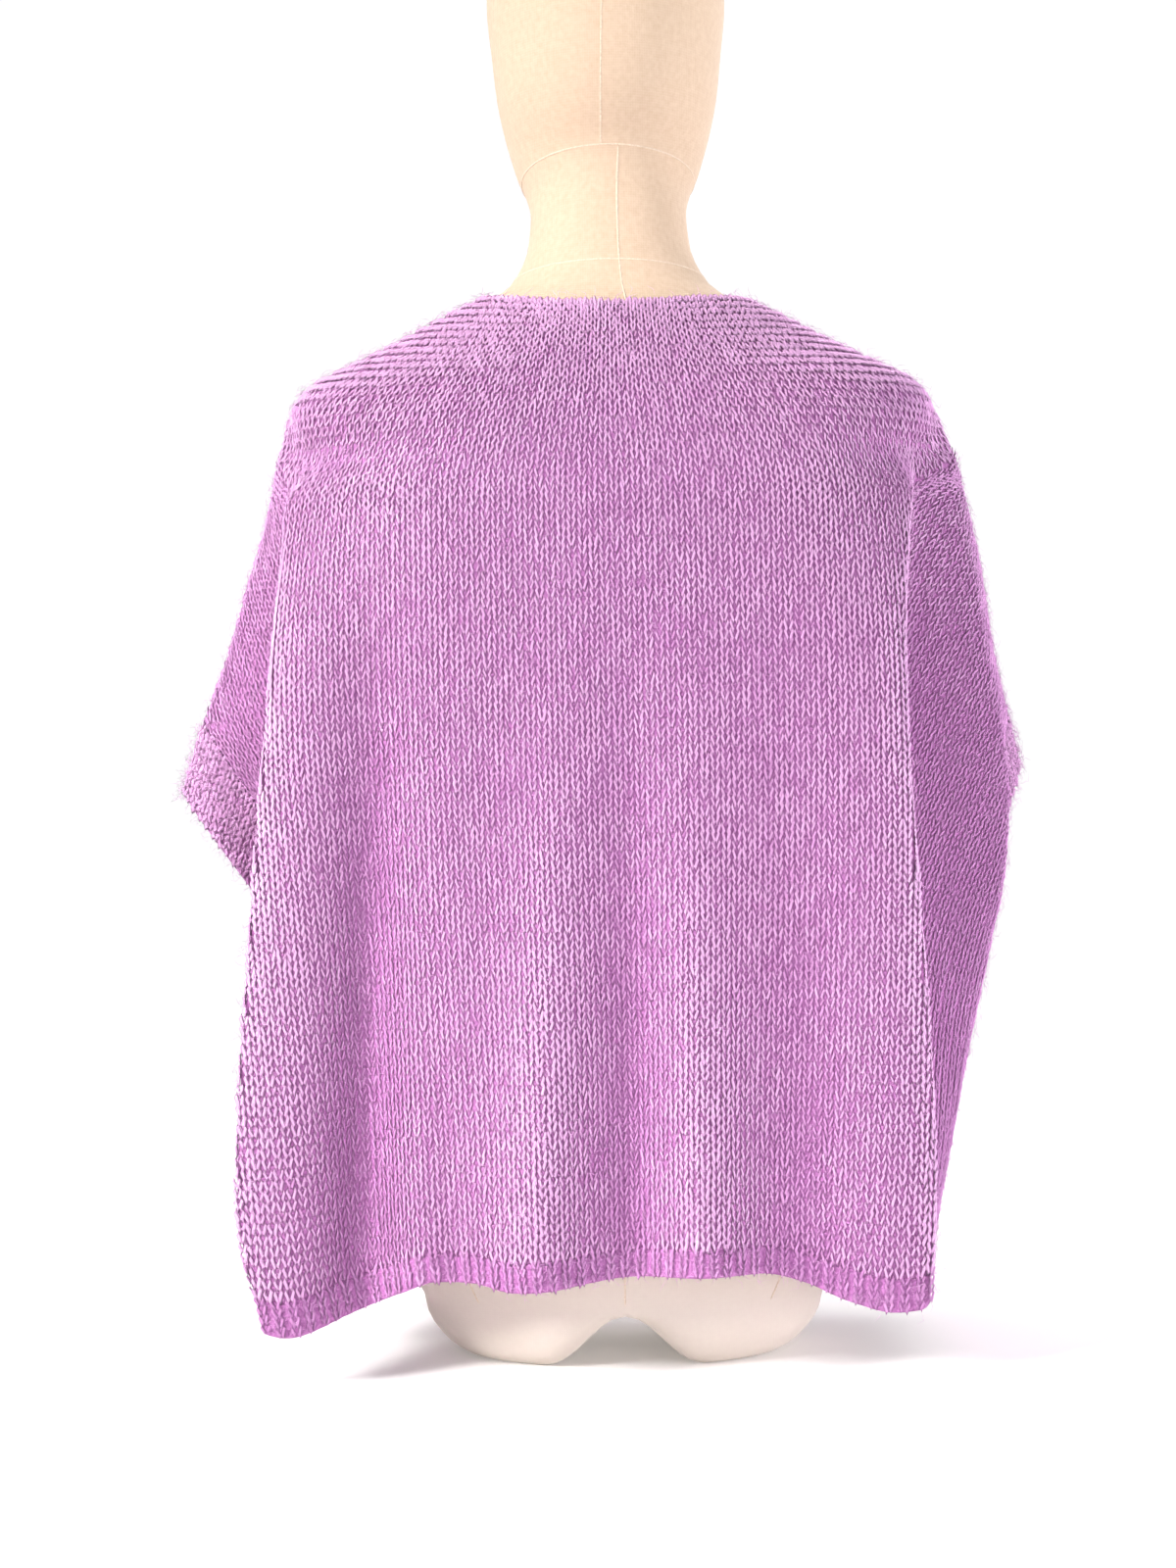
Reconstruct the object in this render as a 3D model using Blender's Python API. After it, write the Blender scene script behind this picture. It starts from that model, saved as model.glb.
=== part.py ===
"""A knitted sweater vest with winged shoulders, worn on a limbless dress form.

Metres, +Z up. The wearer's back faces -Y, so +X is the wearer's right. The form stands on its
flat underside at Z = 0 and the vest hangs from the form's shoulders as a hollow shell.

The tables hold centimetres, as a dressmaker would measure them. Each panel is a grid: its rows
run across the panel at one level, and its columns run from the hem to the neckline.
"""

from collections import namedtuple

import bmesh
import bpy
import numpy as np

CM = 0.01
COLLECTION = "sweater_vest_on_dress_form"

# Cloth, in centimetres
WALL = 0.24
SEAM_GAP = 0.04
REST_GAP = 0.13
HEM_BAND_DEPTH = 1.9
ARM_BAND_DEPTH = 3.9
RIB_PITCH = 1.0
RIB_HEIGHTS = (0.12, 0.01)

# Levels of the vest, in centimetres above the surface that the form stands on
HEM = 6.0
UNDERARM = 27.0
WING_TIP = 42.5
LOOSE_TOP = 55.5
SNUG = 61.8
LOOSE_TOP_SIDE_LIFT = 5.0
SNUG_SIDE_LIFT = 2.9
NECK = 70.0
DIP_FADES_OUT = 26.0
NECK_FADES_IN = 58.0
PANEL_LEVELS = (
    (HEM + HEM_BAND_DEPTH, 10.8, 14.0, 17.5, 20.8, 24.0, UNDERARM)
    + (29.2, 32.0, 35.0, 38.0, 40.6, WING_TIP)
    + (46.0, 50.0, 54.0, 58.0, 60.5, 62.0, 63.4, 64.7, 66.0, 67.6, NECK)
)

# Columns of one half of a row: the centre, the flat of the back, the crest of the hanging fold,
# the trough behind it, the side of the wing and the panel's own edge
KNOTS = np.array([0.0, 0.3, 0.5, 0.66, 0.82, 1.0])
COLUMNS_IN_KNOT_SPANS = (8, 7, 4, 4, 4)
WAVES_END = (0.42, 0.56)
FLAT_REACH = 0.62
FLAT_RISE = 0.12
WRAP_POWER = 1.35

# Sleeve opening: how far its two edges stand apart, and the way its ribbed band points
ARM_HALF_GAP = 1.7
ARM_GAP_WAY = {"left": (0.0, 1.0), "right": (-0.44, 0.9)}
BAND_AT_TIP = {"left": (-0.37, 0.0, -1.2), "right": (0.26, 0.41, -0.87)}
BAND_AT_UNDERARM = {"left": (-0.5, 0.0, -0.86), "right": (0.15, 0.5, -0.85)}

SIDE_SIGN = {"left": -1.0, "right": 1.0}
FACE_SIGN = {"back": -1.0, "front": 1.0}

FormSection = namedtuple("FormSection", "height half_width back front widest squareness")
FORM_SECTIONS = (
    FormSection(4.0, 13.5, 10.2, 8.0, -0.5, 2.3),
    FormSection(6.0, 14.6, 11.3, 8.4, -0.5, 2.3),
    FormSection(9.0, 16.0, 12.5, 8.8, -0.5, 2.3),
    FormSection(12.5, 16.9, 12.9, 9.1, -0.5, 2.3),
    FormSection(16.0, 17.0, 12.7, 9.3, -0.5, 2.3),
    FormSection(20.0, 16.4, 11.6, 9.4, -0.3, 2.3),
    FormSection(25.0, 14.9, 9.7, 9.3, 0.0, 2.3),
    FormSection(30.0, 13.3, 8.4, 9.2, 0.0, 2.3),
    FormSection(35.0, 12.5, 8.0, 9.3, 0.0, 2.3),
    FormSection(40.0, 12.9, 8.4, 9.9, 0.0, 2.3),
    FormSection(44.0, 14.0, 9.2, 11.2, 0.0, 2.3),
    FormSection(48.0, 15.3, 10.0, 12.3, 0.0, 2.3),
    FormSection(52.0, 16.5, 10.7, 12.4, 0.0, 2.3),
    FormSection(56.0, 17.9, 11.1, 11.2, 0.0, 2.4),
    FormSection(59.5, 19.4, 11.05, 9.7, 0.0, 2.5),
    FormSection(62.0, 21.1, 10.75, 8.6, 0.0, 2.55),
    FormSection(63.4, 21.2, 10.45, 8.0, 0.0, 2.45),
    FormSection(64.7, 20.3, 10.05, 7.5, 0.0, 2.3),
    FormSection(66.0, 17.9, 9.5, 7.0, 0.0, 2.1),
    FormSection(67.4, 15.0, 8.8, 6.5, 0.0, 2.05),
    FormSection(68.8, 12.4, 7.95, 6.1, 0.0, 2.0),
    FormSection(70.2, 9.7, 6.9, 5.8, 0.1, 2.0),
    FormSection(71.4, 7.3, 6.3, 5.7, 0.2, 2.0),
    FormSection(72.8, 6.2, 5.8, 5.7, 0.3, 2.0),
    FormSection(74.4, 5.55, 5.4, 5.9, 0.5, 2.0),
    FormSection(76.8, 5.3, 5.1, 6.3, 0.6, 2.0),
    FormSection(78.3, 5.6, 5.1, 8.2, 2.0, 2.0),
    FormSection(79.6, 6.15, 5.3, 9.3, 2.4, 2.0),
    FormSection(81.0, 6.6, 5.9, 9.9, 2.2, 2.0),
    FormSection(82.6, 7.05, 7.0, 10.2, 1.7, 2.0),
    FormSection(84.8, 7.5, 8.1, 10.2, 1.2, 2.0),
    FormSection(87.6, 7.8, 8.9, 10.0, 0.9, 2.0),
    FormSection(91.0, 8.1, 9.3, 9.7, 0.6, 2.0),
    FormSection(94.3, 7.9, 9.0, 9.2, 0.4, 2.0),
    FormSection(97.0, 6.9, 7.8, 7.9, 0.3, 2.0),
    FormSection(99.0, 5.1, 5.7, 5.8, 0.2, 2.0),
    FormSection(100.1, 3.0, 3.3, 3.4, 0.2, 2.0),
)
FORM_TOP = 100.5
FORM_COLUMNS = 36

# Underside of the form: rings from the rim to the middle, as a share of the lowest section,
# and the arch between the two rounded stumps
UnderRing = namedtuple("UnderRing", "share height")
UNDER_RINGS = (
    UnderRing(0.98, 2.8),
    UnderRing(0.92, 1.5),
    UnderRing(0.84, 0.5),
    UnderRing(0.75, 0.0),
    UnderRing(0.58, 0.0),
    UnderRing(0.38, 0.0),
    UnderRing(0.18, 0.0),
)
ARCH_HEIGHT = 3.3
ARCH_HALF_WIDTH = 5.6
ARCH_POWER = 1.25

# The hanging folds: distance from the middle and depth from front to back of each crest, trough
# and side, seen from above at one level
Section = namedtuple(
    "Section", "height crest_x crest_y trough_x trough_y side_x side_y"
)
SECTIONS = {
    ("back", "left"): (
        Section(6.0, 23.1, -14.0, 21.0, -6.9, 20.2, -2.6),
        Section(13.0, 24.6, -13.5, 21.2, -6.5, 19.4, -2.2),
        Section(20.0, 24.35, -13.0, 20.5, -6.1, 18.3, -1.8),
        Section(27.0, 23.75, -12.5, 19.6, -5.9, 17.8, -1.9),
        Section(32.0, 23.4, -12.1, 19.8, -6.2, 20.4, -3.2),
        Section(37.0, 23.0, -11.6, 20.4, -6.3, 22.8, -3.3),
        Section(42.5, 22.55, -10.8, 20.9, -6.1, 24.9, -2.9),
        Section(47.0, 22.25, -9.7, 21.0, -5.6, 24.2, -2.6),
        Section(52.0, 21.85, -7.9, 21.2, -4.8, 23.5, -2.2),
        Section(57.0, 21.6, -5.6, 21.4, -3.9, 22.6, -1.8),
        Section(61.5, 21.2, -3.4, 21.5, -2.4, 21.9, -1.2),
    ),
    ("back", "right"): (
        Section(6.0, 19.4, -13.4, 18.8, -9.4, 20.6, -2.2),
        Section(13.0, 19.8, -13.0, 19.0, -8.7, 22.0, -2.0),
        Section(20.0, 19.7, -12.6, 18.7, -8.1, 23.5, -1.4),
        Section(27.0, 19.35, -12.4, 18.3, -7.9, 25.2, -0.6),
        Section(32.0, 19.05, -12.2, 18.1, -7.7, 26.3, -0.2),
        Section(37.0, 18.8, -11.9, 18.0, -7.5, 26.6, -0.3),
        Section(42.5, 18.65, -11.3, 18.0, -7.0, 25.9, -1.5),
        Section(47.0, 18.65, -10.5, 18.2, -6.5, 25.0, -2.0),
        Section(52.0, 19.0, -9.1, 18.8, -5.6, 24.3, -1.9),
        Section(57.0, 19.7, -6.6, 19.7, -4.4, 23.3, -1.7),
        Section(61.5, 20.9, -3.6, 21.2, -2.5, 22.2, -1.2),
    ),
    ("front", "left"): (
        Section(6.0, 22.6, 11.9, 20.3, 7.2, 19.9, 3.2),
        Section(13.0, 23.5, 11.4, 20.5, 6.6, 19.2, 3.0),
        Section(20.0, 23.6, 11.0, 20.2, 6.3, 18.2, 3.0),
        Section(27.0, 23.3, 10.6, 19.5, 6.3, 17.7, 3.2),
        Section(32.0, 23.0, 10.3, 19.6, 6.7, 20.2, 4.2),
        Section(37.0, 22.6, 9.9, 20.1, 6.7, 22.6, 4.2),
        Section(42.5, 22.3, 9.3, 20.6, 6.4, 24.8, 3.5),
        Section(47.0, 22.1, 8.4, 20.8, 5.9, 24.1, 3.0),
        Section(52.0, 21.8, 7.0, 21.0, 5.1, 23.4, 2.5),
        Section(57.0, 21.5, 5.2, 21.3, 4.0, 22.5, 2.0),
        Section(61.5, 21.1, 3.5, 21.4, 2.5, 21.9, 1.3),
    ),
    ("front", "right"): (
        Section(6.0, 20.6, 12.0, 20.0, 8.4, 20.6, 4.6),
        Section(13.0, 21.3, 11.6, 20.5, 8.0, 21.4, 5.0),
        Section(20.0, 21.6, 11.3, 20.7, 8.4, 21.7, 6.4),
        Section(27.0, 21.5, 11.0, 20.5, 9.0, 20.8, 7.8),
        Section(32.0, 21.2, 10.8, 20.4, 9.2, 21.3, 8.4),
        Section(37.0, 20.8, 10.5, 20.2, 9.0, 22.5, 8.0),
        Section(42.5, 20.5, 9.8, 20.1, 8.2, 24.0, 6.9),
        Section(47.0, 20.4, 8.8, 20.2, 7.3, 23.3, 5.9),
        Section(52.0, 20.6, 7.3, 20.5, 5.9, 22.9, 4.4),
        Section(57.0, 20.8, 5.4, 20.8, 4.3, 22.5, 2.8),
        Section(61.5, 21.1, 3.6, 21.3, 2.6, 22.1, 1.3),
    ),
}

# The seam between front and back: the side seam up to the underarm, the middle of the sleeve
# opening up to the wing's tip, and the shoulder seam from there on
Edge = namedtuple("Edge", "height x y")
SIDE_AND_SLEEVE_EDGE = {
    "left": (
        Edge(6.0, 20.6, 0.5),
        Edge(13.0, 19.4, 0.7),
        Edge(20.0, 18.0, 0.8),
        Edge(27.0, 17.2, 0.9),
        Edge(32.0, 20.7, 0.8),
        Edge(37.0, 24.3, 0.6),
        Edge(42.5, 28.1, 0.4),
    ),
    "right": (
        Edge(6.0, 20.7, 1.4),
        Edge(13.0, 21.9, 2.2),
        Edge(20.0, 22.1, 4.2),
        Edge(27.0, 21.0, 6.3),
        Edge(32.0, 22.9, 6.0),
        Edge(37.0, 25.0, 5.4),
        Edge(42.5, 27.1, 4.2),
    ),
}
SHOULDER_EDGE = {
    "left": (
        Edge(42.5, 28.1, 0.4),
        Edge(47.0, 26.4, 0.3),
        Edge(52.0, 24.85, 0.2),
        Edge(57.0, 23.35, 0.1),
        Edge(61.5, 22.5, 0.0),
    ),
    "right": (
        Edge(42.5, 27.1, 4.2),
        Edge(47.0, 26.0, 3.0),
        Edge(52.0, 25.2, 1.8),
        Edge(57.0, 24.1, 0.7),
        Edge(61.5, 23.0, 0.0),
    ),
}

Centre = namedtuple("Centre", "height y")
CENTRES = {
    "back": (
        Centre(6.0, -14.5),
        Centre(13.0, -14.1),
        Centre(20.0, -13.7),
        Centre(30.0, -13.2),
        Centre(40.0, -12.8),
        Centre(50.0, -12.5),
        Centre(56.0, -12.1),
        Centre(61.5, -11.3),
    ),
    "front": (
        Centre(6.0, 14.3),
        Centre(13.0, 14.1),
        Centre(20.0, 14.0),
        Centre(30.0, 13.9),
        Centre(40.0, 13.8),
        Centre(50.0, 13.4),
        Centre(56.0, 12.2),
        Centre(61.5, 9.6),
    ),
}

# Soft waves between the big folds: place across the panel at the hem and at the fold's top,
# the level where it dies out, its half width and how far it stands out (or in, if negative)
Wave = namedtuple("Wave", "low_x high_x top half_width out")
WAVES = {
    "back": (
        Wave(-16.6, -14.9, 66.0, 2.6, -2.9),
        Wave(-10.9, -12.0, 38.0, 1.5, -0.5),
        Wave(-5.6, -2.2, 58.0, 2.6, 1.6),
        Wave(0.8, 1.0, 50.0, 1.8, -0.7),
        Wave(5.1, 4.6, 58.0, 2.5, 1.3),
        Wave(11.6, 12.2, 62.0, 3.4, -0.9),
    ),
    "front": (
        Wave(-16.0, -14.5, 48.0, 2.5, -1.1),
        Wave(-10.5, -9.5, 44.0, 2.6, 0.8),
        Wave(-4.5, -4.0, 40.0, 2.4, -0.8),
        Wave(1.5, 0.5, 36.0, 2.6, 0.7),
        Wave(6.8, 6.0, 42.0, 2.3, -1.0),
        Wave(12.0, 10.5, 46.0, 2.6, 0.8),
        Wave(17.0, 15.5, 50.0, 2.0, -0.7),
    ),
}

# How far the hem lies above or below its level, at places across the row from edge to edge
Dip = namedtuple("Dip", "across rise")
HEM_DIPS = {
    "back": (
        Dip(-1.0, -1.9),
        Dip(-0.66, -1.6),
        Dip(-0.5, -2.2),
        Dip(-0.43, -2.7),
        Dip(-0.36, -1.6),
        Dip(-0.3, -0.1),
        Dip(-0.25, 0.7),
        Dip(-0.2, 0.65),
        Dip(-0.15, 0.2),
        Dip(-0.1, 0.3),
        Dip(0.0, 0.85),
        Dip(0.21, 1.0),
        Dip(0.29, 0.2),
        Dip(0.35, -0.95),
        Dip(0.41, -1.65),
        Dip(0.46, -1.5),
        Dip(0.52, -0.6),
        Dip(0.66, -0.2),
        Dip(1.0, -0.4),
    ),
    "front": (
        Dip(-1.0, -1.9),
        Dip(-0.66, -1.7),
        Dip(-0.5, -2.2),
        Dip(-0.3, -0.6),
        Dip(-0.1, 0.3),
        Dip(0.1, 0.1),
        Dip(0.3, -0.2),
        Dip(0.5, -1.5),
        Dip(0.66, -0.9),
        Dip(1.0, -0.4),
    ),
}

# How far the neckline lies above or below its level
NECK_RISES = {
    "back": (Dip(-1.0, 0.9), Dip(-0.45, 0.2), Dip(0.0, -0.6), Dip(0.45, 0.0), Dip(1.0, 0.3)),
    "front": (Dip(-1.0, 0.9), Dip(-0.5, -1.7), Dip(0.0, -3.3), Dip(0.5, -1.9), Dip(1.0, 0.3)),
}

LILAC_KNIT = ((0.70, 0.31, 0.62, 1.0), 0.9)
LILAC_RIB = ((0.62, 0.26, 0.55, 1.0), 0.9)
CREAM_LINEN = ((0.90, 0.79, 0.65, 1.0), 0.8)


def smooth_through(knots, values, at):
    """Values at the places `at` on a cubic through the knots that never overshoots them."""
    knots = np.asarray(knots, float)
    values = np.asarray(values, float).reshape(len(knots), -1)
    at = np.clip(np.asarray(at, float), knots[0], knots[-1])
    step = np.diff(knots)[:, None]
    slope = np.diff(values, axis=0) / step
    before, after = slope[:-1], slope[1:]
    same_way = before * after > 0
    near, far = 2 * step[1:] + step[:-1], step[1:] + 2 * step[:-1]
    weighted = np.where(same_way, near * after + far * before, 1.0)
    inner = np.where(same_way, (near + far) * before * after / weighted, 0.0)
    tangent = np.vstack([slope[:1], inner, slope[-1:]])
    i = np.clip(np.searchsorted(knots, at, side="right") - 1, 0, len(step) - 1)
    t = ((at - knots[i]) / step[i, 0])[..., None]
    rise = step[i] * (t**3 - 2 * t**2 + t) * tangent[i] + step[i] * (t**3 - t**2) * tangent[i + 1]
    return (1 - t) ** 2 * (1 + 2 * t) * values[i] + t**2 * (3 - 2 * t) * values[i + 1] + rise


def table_at(table, heights):
    """The table's columns after its first, read at the given heights."""
    rows = np.array(table)
    return smooth_through(rows[:, 0], rows[:, 1:], heights)


def ease(low, high, value):
    """0 below low, 1 above high, with a soft start and end."""
    t = np.clip((np.asarray(value, float) - low) / (high - low), 0, 1)
    return t * t * (3 - 2 * t)


def form_points(height, angle):
    """Surface of the dress form. The angle is 0 at +X and a quarter turn at the front."""
    height, angle = np.broadcast_arrays(height, angle)
    half_width, back, front, widest, squareness = np.moveaxis(table_at(FORM_SECTIONS, height), -1, 0)
    power = 2 / squareness
    across, along = np.cos(angle), np.sin(angle)
    reach = np.where(along > 0, front - widest, back + widest)
    x = half_width * np.sign(across) * np.abs(across) ** power
    y = widest + reach * np.sign(along) * np.abs(along) ** power
    return np.stack([x, y, height], axis=-1)


def unit(vectors):
    return vectors / np.linalg.norm(vectors, axis=-1, keepdims=True)


def form_offset(height, angle, distance):
    """Points at a distance outside the form's surface."""
    step = 0.01
    up = form_points(height + step, angle) - form_points(height - step, angle)
    round_it = form_points(height, angle + step) - form_points(height, angle - step)
    return form_points(height, angle) + distance * unit(np.cross(round_it, up))


def row_positions():
    """Places of the columns from edge to edge, from -1 to 1."""
    half = [KNOTS[:1]]
    for start, end, count in zip(KNOTS, KNOTS[1:], COLUMNS_IN_KNOT_SPANS):
        half.append(np.linspace(start, end, count + 1)[1:])
    half = np.concatenate(half)
    return np.concatenate([-half[:0:-1], half])


def edge_at(side, level):
    """Middle of the seam or the sleeve opening at a level: its x and y."""
    below = table_at(SIDE_AND_SLEEVE_EDGE[side], level)
    above = table_at(SHOULDER_EDGE[side], level)
    return np.where(np.asarray(level)[..., None] < WING_TIP, below, above)


def is_seam(level):
    """Whether front and back are joined at a level, as they are but for the sleeve opening."""
    level = np.asarray(level, float)
    return (level <= UNDERARM) | (level >= WING_TIP)


def sleeve_half_gap(level):
    """How far each edge of the sleeve opening stands from its middle, as a half ellipse."""
    share = np.clip((np.asarray(level, float) - UNDERARM) / (WING_TIP - UNDERARM), 0, 1)
    return ARM_HALF_GAP * 2 * np.sqrt(share * (1 - share))


def hanging_half(face, side, level, across):
    """Plan of one half row of the loose cloth, through the crest, the trough and the side.

    One more knot past each end, mirrored at the middle and at a seam, lets the row cross those
    squarely. At the sleeve opening the row runs straight on.
    """
    crest_x, crest_y, trough_x, trough_y, side_x, side_y = table_at(SECTIONS[face, side], level).T
    centre_y = table_at(CENTRES[face], level)[:, 0]
    apart = FACE_SIGN[face] * sleeve_half_gap(level) * np.array(ARM_GAP_WAY[side])[:, None]
    edge_x, edge_y = edge_at(side, level).T + apart
    past_edge_x = np.where(is_seam(level), side_x, 2 * edge_x - side_x)
    flat_y = centre_y + FLAT_RISE * (crest_y - centre_y)
    flat_x = FLAT_REACH * crest_x
    x_knots = (-flat_x, 0 * flat_x, flat_x, crest_x, trough_x, side_x, edge_x, past_edge_x)
    y_knots = (flat_y, centre_y, flat_y, crest_y, trough_y, side_y, edge_y, 2 * edge_y - side_y)
    mirrored = np.concatenate([[-KNOTS[1]], KNOTS, [2 - KNOTS[-2]]])
    x = smooth_through(mirrored, np.array(x_knots), across).T
    y = smooth_through(mirrored, np.array(y_knots), across).T
    return SIDE_SIGN[side] * x, y


def waves_at(face, x, height):
    """How far the soft waves push the cloth out at a place."""
    out = np.zeros_like(x)
    for wave in WAVES[face]:
        share = np.clip((height - HEM) / (wave.top - HEM), 0, 1)
        middle = wave.low_x + (wave.high_x - wave.low_x) * share
        out += wave.out * (1 - ease(0, 1, share)) * np.exp(-(((x - middle) / wave.half_width) ** 2))
    return out


def cloth_points(face, levels, across):
    """Outer surface of one face of the vest, as rows by columns by xyz, in centimetres."""
    levels = np.asarray(levels, float)
    hanging = np.zeros((len(levels), len(across), 2))
    for side, sign in SIDE_SIGN.items():
        mine = across * sign >= 0
        x, y = hanging_half(face, side, levels, np.abs(across[mine]))
        hanging[:, mine, 0], hanging[:, mine, 1] = x, y
    level = levels[:, None] + 0 * across
    dips, rises = table_at(HEM_DIPS[face], across)[:, 0], table_at(NECK_RISES[face], across)[:, 0]
    low = np.clip((DIP_FADES_OUT - level) / (DIP_FADES_OUT - HEM), 0, None) ** 1.5
    high = np.clip((level - NECK_FADES_IN) / (NECK - NECK_FADES_IN), 0, 1) ** 1.5
    height = level + dips * low + rises * high
    flat_part = 1 - ease(*WAVES_END, np.abs(across))
    hanging[..., 1] += FACE_SIGN[face] * flat_part * waves_at(face, hanging[..., 0], height)
    loose = np.concatenate([hanging, height[..., None]], axis=-1)
    turn = np.pi / 2 * np.sign(across) * (1 - (1 - np.abs(across)) ** WRAP_POWER)
    angle = FACE_SIGN[face] * (np.pi / 2 - turn)
    snug = form_offset(height, angle + 0 * level, WALL + REST_GAP)
    starts = LOOSE_TOP + LOOSE_TOP_SIDE_LIFT * across**2
    ends = SNUG + SNUG_SIDE_LIFT * across**2
    share = ease(starts, ends, level)[..., None]
    return (1 - share) * loose + share * snug


def cloth_wall(face, levels, across):
    """Outer and inner points of one face, with its edges half a seam gap short of the seam."""
    outer = cloth_points(face, levels, across)
    along, up = np.gradient(outer, axis=1), np.gradient(outer, axis=0)
    outward = unit(np.cross(along, up) * -FACE_SIGN[face])
    seamed = is_seam(levels)
    for edge in (0, -1):
        outward[seamed, edge, 1] = 0
        outer[seamed, edge, 1] += FACE_SIGN[face] * SEAM_GAP / 2
    outward = unit(outward)
    return outer, outer - WALL * outward


def quads(rows, columns, closed=False):
    """Faces of a grid of points, as four arrays of indices. A closed grid joins its last column."""
    index = np.arange(rows * columns).reshape(rows, columns)
    if closed:
        index = np.hstack([index, index[:, :1]])
    corners = (index[:-1, :-1], index[:-1, 1:], index[1:, 1:], index[1:, :-1])
    return np.stack([corner.ravel() for corner in corners], axis=1)


def wall_mesh(outer, inner, closed=False):
    """Points and faces of a closed wall between two grids. A closed one runs round on itself."""
    rows, columns = outer.shape[:2]
    count = rows * columns
    index = np.arange(count).reshape(rows, columns)
    faces = [quads(rows, columns, closed), quads(rows, columns, closed)[:, ::-1] + count]
    rims = [index[0], index[-1]]
    if closed:
        rims = [np.append(rim, rim[0]) for rim in rims]
    else:
        rims += [index[:, 0], index[:, -1]]
    for rim in rims:
        faces.append(np.stack([rim[:-1], rim[1:], rim[1:] + count, rim[:-1] + count], axis=1))
    points = np.concatenate([outer.reshape(-1, 3), inner.reshape(-1, 3)])
    return points, np.concatenate(faces).tolist()


def rib_places(line):
    """Where the ribs' flanks lie along a row, counted in its columns, whole ribs to a column."""
    lengths = np.linalg.norm(np.diff(line, axis=0), axis=1)
    places = [np.zeros(1)]
    for column, length in enumerate(lengths):
        ribs = max(1, round(length / RIB_PITCH))
        places.append(column + np.arange(1, 2 * ribs + 1) / (2 * ribs))
    return np.concatenate(places)


def ribbed(outer, inner):
    """The wall's points resampled at two for each rib, every other outer one raised level.

    The first row is the free edge, where the ribs stand proudest, and the last is the seam.
    """
    places = rib_places(outer[-1])
    before = np.minimum(places.astype(int), outer.shape[1] - 2)
    share = (places - before)[:, None]
    outer = (1 - share) * outer[:, before] + share * outer[:, before + 1]
    inner = (1 - share) * inner[:, before] + share * inner[:, before + 1]
    outward = unit((outer - inner) * [1, 1, 0])
    for row, height in enumerate(RIB_HEIGHTS):
        outer[row, 1::2] += height * outward[row, 1::2]
    return outer, inner


def hem_band(face, panel_outer, panel_inner, across):
    """Ribbed band below a panel, from the panel's own lowest row down to the hem."""
    outer, inner = cloth_wall(face, (HEM, HEM + HEM_BAND_DEPTH, HEM + 2 * HEM_BAND_DEPTH), across)
    drop = np.array([0, 0, -SEAM_GAP])
    outer = np.stack([outer[0], panel_outer[0] + drop])
    inner = np.stack([inner[0], panel_inner[0] + drop])
    return wall_mesh(*ribbed(outer, inner))


def sleeve_loop(side, walls, layer):
    """Points round a sleeve opening, from the underarm up the back and down the front, taken
    from the edges of both panels."""
    column = 0 if side == "left" else -1
    levels = np.array(PANEL_LEVELS)
    rows = np.flatnonzero((levels >= UNDERARM) & (levels <= WING_TIP))
    back, front = (walls[face][layer][rows, column] for face in ("back", "front"))
    ends = (back + front) / 2
    return np.concatenate([ends[:1], back[1:-1], ends[-1:], front[-2:0:-1]])


def sleeve_band(side, walls):
    """Ribbed band round a sleeve opening, a short tube that carries on from the wing."""
    seam_outer, seam_inner = (sleeve_loop(side, walls, layer) for layer in (0, 1))
    share = ((seam_outer[:, 2] - UNDERARM) / (WING_TIP - UNDERARM))[:, None]
    way = share * np.array(BAND_AT_TIP[side]) + (1 - share) * np.array(BAND_AT_UNDERARM[side])
    around = np.roll(seam_outer, -1, axis=0) - np.roll(seam_outer, 1, axis=0)
    outward = SIDE_SIGN[side] * unit(np.cross(way, around))
    end = seam_outer + ARM_BAND_DEPTH * way
    outer = np.stack([end, seam_outer + SEAM_GAP * way])
    inner = np.stack([end - WALL * outward, seam_inner + SEAM_GAP * way])
    outer, inner = (np.concatenate([grid, grid[:, :1]], axis=1) for grid in (outer, inner))
    outer, inner = ribbed(outer, inner)
    return wall_mesh(outer[:, :-1], inner[:, :-1], closed=True)


def underside_points(angle):
    """Rings under the form, round at the rim, flat inside it and arched between the stumps."""
    rim = form_points(FORM_SECTIONS[0].height, angle)
    rings = []
    for share, height in UNDER_RINGS:
        ring = rim * share
        near = np.clip(1 - np.abs(ring[:, 0]) / ARCH_HALF_WIDTH, 0, 1)
        arch = ARCH_HEIGHT * np.sin(np.pi / 2 * near) ** (2 * ARCH_POWER)
        ring[:, 2] = height + arch * (1 - height / FORM_SECTIONS[0].height)
        rings.append(ring)
    return rings[::-1]


def dress_form():
    """Torso, neck and smooth head in one closed body: rings from the underside to the crown."""
    angle = np.linspace(0, 2 * np.pi, FORM_COLUMNS, endpoint=False)
    rings = underside_points(angle)
    rings += [form_points(section.height, angle) for section in FORM_SECTIONS]
    faces = quads(len(rings), FORM_COLUMNS, closed=True).tolist()
    points = np.concatenate(rings)
    crown = [0.0, FORM_SECTIONS[-1].widest, FORM_TOP]
    middle = [0.0, 0.0, ARCH_HEIGHT]
    points = np.vstack([points, crown, middle])
    last = (len(rings) - 1) * FORM_COLUMNS
    for i in range(FORM_COLUMNS):
        j = (i + 1) % FORM_COLUMNS
        faces.append((last + i, last + j, len(points) - 2))
        faces.append((j, i, len(points) - 1))
    return points, faces


def vest_pieces():
    """Points and faces of each knitted piece, by name."""
    across = row_positions()
    walls = {face: cloth_wall(face, PANEL_LEVELS, across) for face in FACE_SIGN}
    pieces = {}
    for face in FACE_SIGN:
        pieces[face + "_panel"] = wall_mesh(*walls[face])
        pieces["hem_band_" + face] = hem_band(face, *walls[face], across)
    for side in SIDE_SIGN:
        pieces["sleeve_band_" + side] = sleeve_band(side, walls)
    return pieces


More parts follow.
